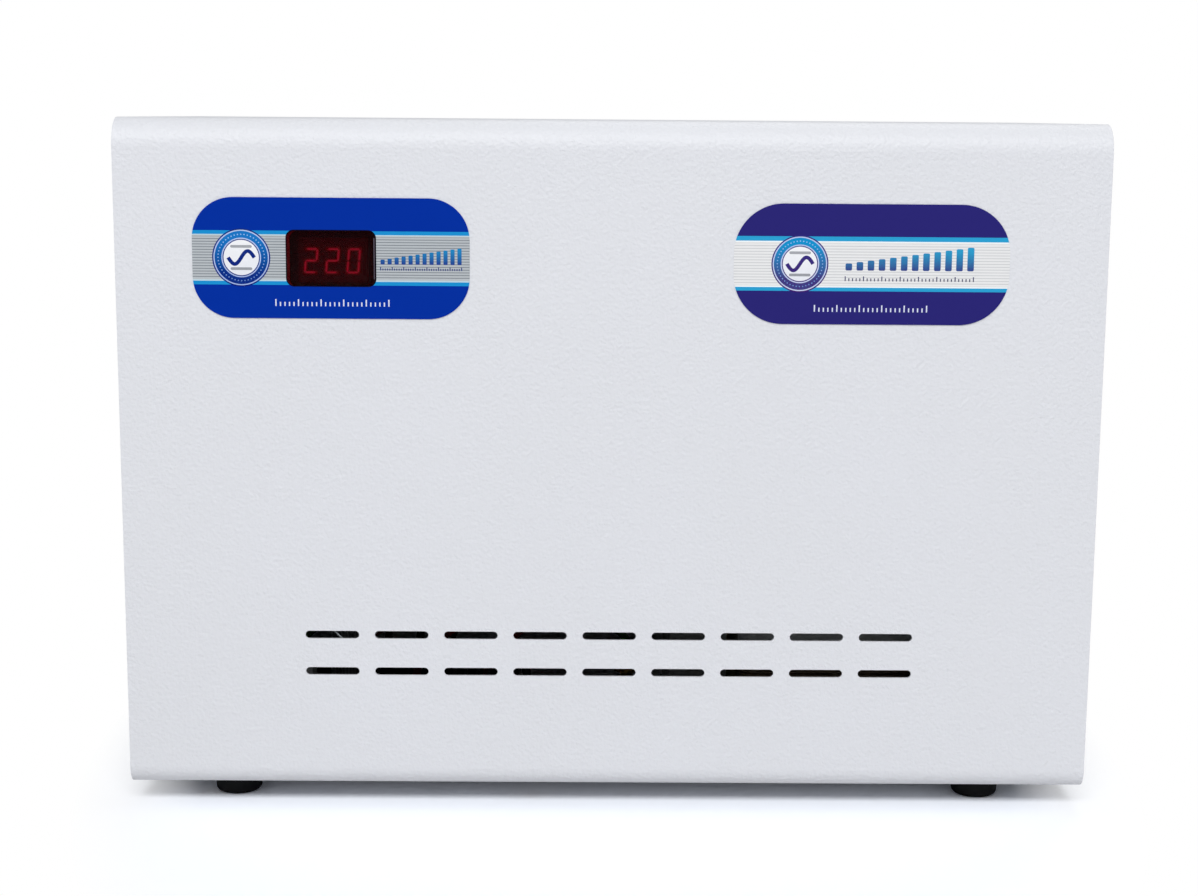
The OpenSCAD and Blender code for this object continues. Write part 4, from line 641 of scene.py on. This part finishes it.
anodised, tree, place = finish("black_anodised_aluminium")
stretch = add(tree, "Mapping", {},
              {"Vector": place, "Scale": (1 / DRAW_W_MM, 1 / DRAW_W_MM, 1 / DRAW_L_MM)})
lines = add(tree, "TexNoise", {}, {"Vector": stretch.outputs[0], "Scale": 1.0, "Detail": 2})
tint = add(tree, "Mix", {"data_type": "RGBA"},
           {"Factor": lines.outputs["Fac"], MIX_A: linear("2A2B2E"), MIX_B: linear("3B3C40")})
bump = add(tree, "Bump", {},
           {"Height": lines.outputs["Fac"], "Strength": 0.4, "Distance": 0.01 * MM})
shade(tree, {"Base Color": tint.outputs[MIX_OUT], "Metallic": 1.0, "Roughness": 0.4,
             "Normal": bump.outputs[0]})
dress(anodised, "heat_sink")

# Relays, capacitors, cut-out, chip, regulator and terminal block: glossy black PBT covers,
# dark shrunk sleeves, matt black epoxy and a black phenolic moulding.

dress(moulded("black_pbt", "121417", "1B1E22", 0.4, 0.3), "relays")
dress(moulded("shrunk_sleeve", "14142A", "1E1E38", 0.5, 0.25), "capacitors")
dress(moulded("black_epoxy", "1A1719", "242022", 0.3, 0.6),
      "thermal_cutout", "controller_chip", "regulator")
dress(moulded("black_phenolic", "17171A", "212125", 0.4, 0.4), "terminal_block")

# Breaker: a body of pale grey thermoset with a fine grain, clipped to its rail behind the
# rear panel, and a toggle lever of smooth dark nylon that joins its two poles.

dress(moulded("pale_thermoset", "D8D8D2", "E2E2DC", 0.5, 0.5), "breaker_body")
dress(moulded("dark_lever_nylon", "1C2230", "262D3D", 0.5, 0.35), "breaker_lever")

# Cable glands: bodies, lock nuts and caps moulded in black nylon with a finely etched
# surface. The lock nuts hold the bodies in the rear panel from inside.

dress(moulded("black_nylon", "1B1B1D", "27272A", 0.35, 0.5, 0.02 * MM),
      "gland_bodies", "gland_nuts", "gland_caps")

# Leads: stranded copper in soft PVC, smooth and slightly glossy. The CAD tubes have flat
# sides, so rounded copies of them take their place.

SKIN_MM = 7
WELD = 0.002 * MM  # corners of the loose triangles nearer than this are one


def insulation(name, dark, light):
    """Extruded insulation, a little uneven."""
    made, tree, place = finish(name)
    cloud = add(tree, "TexNoise", {}, {"Vector": place, "Scale": 1 / SKIN_MM, "Detail": 2})
    tint = add(tree, "Mix", {"data_type": "RGBA"},
               {"Factor": cloud.outputs["Fac"], MIX_A: linear(dark), MIX_B: linear(light)})
    bump = add(tree, "Bump", {},
               {"Height": cloud.outputs["Fac"], "Strength": 0.3, "Distance": 0.1 * MM})
    shade(tree, {"Base Color": tint.outputs[MIX_OUT], "Roughness": 0.38, "IOR": 1.53,
                 "Normal": bump.outputs[0]})
    return made


def smooth_lead(name, material):
    """Replaces the CAD tubes of a lead by copies that are shaded round."""
    mesh = cad[name].data.copy()
    shape = bmesh.new()
    shape.from_mesh(mesh)
    bmesh.ops.remove_doubles(shape, verts=shape.verts, dist=WELD)
    bmesh.ops.recalc_face_normals(shape, faces=shape.faces)
    for face in shape.faces:
        face.smooth = True
    shape.to_mesh(mesh)
    shape.free()
    mesh.materials.clear()
    mesh.materials.append(material)
    piece = bpy.data.objects.new(name + "_rounded", mesh)
    bpy.context.scene.collection.objects.link(piece)
    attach(piece, "cabinet")
    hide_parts(name)


smooth_lead("tap_leads", insulation("red_pvc", "6A1012", "7C1618"))
smooth_lead("mains_leads", insulation("black_pvc", "151517", "202023"))
smooth_lead("earth_lead", insulation("green_pvc", "3E8A1E", "4C9C28"))

# Sense wire: a thin wire in white PTFE from the display board down to the control board.
# It hangs close behind the front and shows in the first slot. It is drawn thicker than
# the real one, so its white is toned down.

WIRE_D = 0.5
SHEET_T, WIRE_CLEAR = 1, 0.1

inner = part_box("cover")[0].y / MM + SHEET_T + WIRE_D / 2 + WIRE_CLEAR
board_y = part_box("display_board")[0].y / MM
board_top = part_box("control_board")[1].z / MM
bends = [(-100.5, board_y, 184), (-103, inner + 5, 160), (-107, inner + 1, 110),
         (-104.5, inner + 0.3, 75), (-99.6, inner, 66.3), (-96.6, inner, 63.3),
         (-90, inner + 0.5, 56.5), (-88, inner + 3, 44), (-88, inner + 8, 26),
         (-88, inner + 9, board_top)]

course = bpy.data.curves.new("sense_wire", "CURVE")
course.dimensions = "3D"
course.bevel_depth = WIRE_D / 2 * MM
course.bevel_resolution = 2
course.resolution_u = 8
course.use_fill_caps = True
run = course.splines.new("BEZIER")
run.bezier_points.add(len(bends) - 1)
for point, at in zip(run.bezier_points, bends):
    point.co = Vector(at) * MM
    point.handle_left_type = point.handle_right_type = "AUTO"
drawn = bpy.data.objects.new("sense_wire_course", course)
bpy.context.scene.collection.objects.link(drawn)
mesh = bpy.data.meshes.new_from_object(drawn.evaluated_get(bpy.context.evaluated_depsgraph_get()))
bpy.data.objects.remove(drawn)
mesh.materials.clear()
mesh.materials.append(insulation("white_ptfe", "787D80", "8C9294"))
for face in mesh.polygons:
    face.use_smooth = len(face.vertices) == 4
sense_wire = bpy.data.objects.new("sense_wire", mesh)
bpy.context.scene.collection.objects.link(sense_wire)
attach(sense_wire, "cabinet")

# Display ribbon: a grey flat cable between the two boards, extruded around cores that show as
# ribs 1.27 mm apart. Its grey is painted shade along the ribs: darker in the grooves between them
# and lighter on their crowns.

RIB_MM = 1.27

ribbon, tree, place = finish("grey_flat_cable_painted_rib_shade")
x = add(tree, "SeparateXYZ", {}, {0: place}).outputs[0]
turn = add(tree, "Math", {"operation": "PINGPONG"}, {0: x, 1: RIB_MM / 2})
# Painted shade: the grey follows the ribs, darker in the grooves and lighter on the crowns.
tint = add(tree, "Mix", {"data_type": "RGBA"},
           {"Factor": turn.outputs[0], MIX_A: linear("6A6C70"), MIX_B: linear("9A9CA0")})
bump = add(tree, "Bump", {},
           {"Height": turn.outputs[0], "Strength": 0.8, "Distance": 0.5 * MM})
shade(tree, {"Base Color": tint.outputs[MIX_OUT], "Roughness": 0.45, "IOR": 1.53,
             "Normal": bump.outputs[0]})
dress(ribbon, "display_ribbon")

# Camera: level with the top of the cabinet, in front of it and a little to the left of
# its middle, as in the photograph. It looks slightly down.

LENS_MM, SENSOR_MM = 60.70, 36
DOWN, TURN, ROLL = [math.radians(a) for a in (9.370, 0.4935, 0.4564)]
CAMERA_X, CAMERA_AWAY, CAMERA_Z = -0.01039, 0.71234, 0.252

ahead = Vector((math.sin(TURN) * math.cos(DOWN), math.cos(TURN) * math.cos(DOWN),
                -math.sin(DOWN)))
level = Vector((math.cos(TURN), -math.sin(TURN), 0))
upright = level.cross(ahead)
right = level * math.cos(ROLL) + upright * math.sin(ROLL)
up = -level * math.sin(ROLL) + upright * math.cos(ROLL)
turned = Matrix((right, up, -ahead)).transposed().to_4x4()
stand = Matrix.Translation((CAMERA_X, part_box("cover")[0].y - CAMERA_AWAY, CAMERA_Z))
camera = bpy.data.objects.new("camera", bpy.data.cameras.new("camera"))
camera.data.sensor_fit = "HORIZONTAL"
camera.data.sensor_width = SENSOR_MM
camera.data.lens = LENS_MM
camera.data.clip_start = 0.01
camera.matrix_world = stand @ turned
bpy.context.scene.collection.objects.link(camera)
bpy.context.scene.camera = camera

# Floor: a pale seamless sheet. The camera sees it a little brighter than it is, so that
# it ends in white, and around the cabinet it turns into the white of the world.

FADE_FROM, FADE_TO = 160, 205  # mm to the left and right of the middle
DEPTH_SHARE = 0.6  # depth counts less, so the fade lies further out at front and rear
TRUE_TONE, SEEN_TONE = (0.84, 0.84, 0.85, 1), (1.09, 1.13, 1.20, 1)
WHITE = (1, 1, 1, 1)
FLOOR_HALF = 4

floor_coat, tree, place = finish("seamless_floor")
ray = add(tree, "LightPath", {}, {})
squeezed = add(tree, "VectorMath", {"operation": "MULTIPLY"},
               {0: place, 1: (1, DEPTH_SHARE, 1)})
far = add(tree, "VectorMath", {"operation": "LENGTH"}, {0: squeezed.outputs[0]})
fade = add(tree, "MapRange", {},
           {"Value": far.outputs["Value"], "From Min": FADE_FROM, "From Max": FADE_TO})
colour = add(tree, "Mix", {"data_type": "RGBA"},
             {"Factor": ray.outputs["Is Camera Ray"], MIX_A: TRUE_TONE, MIX_B: SEEN_TONE})
matt = add(tree, "BsdfDiffuse", {}, {"Color": colour.outputs[MIX_OUT]})
white = add(tree, "Emission", {}, {"Color": WHITE})
sees = add(tree, "Math", {"operation": "MULTIPLY"},
           {0: ray.outputs["Is Camera Ray"], 1: fade.outputs[0]})
mixed = add(tree, "MixShader", {},
            {0: sees.outputs[0], 1: matt.outputs[0], 2: white.outputs[0]})
add(tree, "OutputMaterial", {}, {"Surface": mixed.outputs[0]})

sheet = bmesh.new()
bmesh.ops.create_grid(sheet, x_segments=1, y_segments=1, size=FLOOR_HALF)
mesh = bpy.data.meshes.new("floor")
sheet.to_mesh(mesh)
sheet.free()
mesh.materials.append(floor_coat)
floor = bpy.data.objects.new("floor", mesh)
bpy.context.scene.collection.objects.link(floor)

# Light: a white room, a wide soft box in front of the cabinet and above it, and weaker
# ones over it and behind it.

ROOM_LIGHT, ROOM_SEEN = 0.22, 1.0
AIM = Vector((0, 0, 0.12))

world = bpy.data.worlds.new("studio")
world.use_nodes = True
tree = world.node_tree
tree.nodes.clear()
ray = add(tree, "LightPath", {}, {})
strength = add(tree, "MapRange", {}, {"Value": ray.outputs["Is Camera Ray"],
                                      "To Min": ROOM_LIGHT, "To Max": ROOM_SEEN})
back = add(tree, "Background", {}, {"Color": WHITE, "Strength": strength.outputs[0]})
add(tree, "OutputWorld", {}, {"Surface": back.outputs[0]})
bpy.context.scene.world = world

for name, at, width, height, watts in (
        ("front_soft_box", (-0.2, -3.0, 3.0), 3.0, 1.3, 125),
        ("top_soft_box", (0.1, -0.2, 1.9), 1.6, 1.2, 3),
        ("rear_soft_box", (0.5, 1.6, 2.2), 1.6, 1.2, 15)):
    light = bpy.data.lights.new(name, "AREA")
    light.shape = "RECTANGLE"
    light.size, light.size_y = width, height
    light.energy = watts
    box = bpy.data.objects.new(name, light)
    box.location = at
    box.rotation_euler = (AIM - Vector(at)).to_track_quat("-Z", "Y").to_euler()
    box.visible_camera = False
    bpy.context.scene.collection.objects.link(box)

bpy.context.scene.view_settings.view_transform = "Standard"
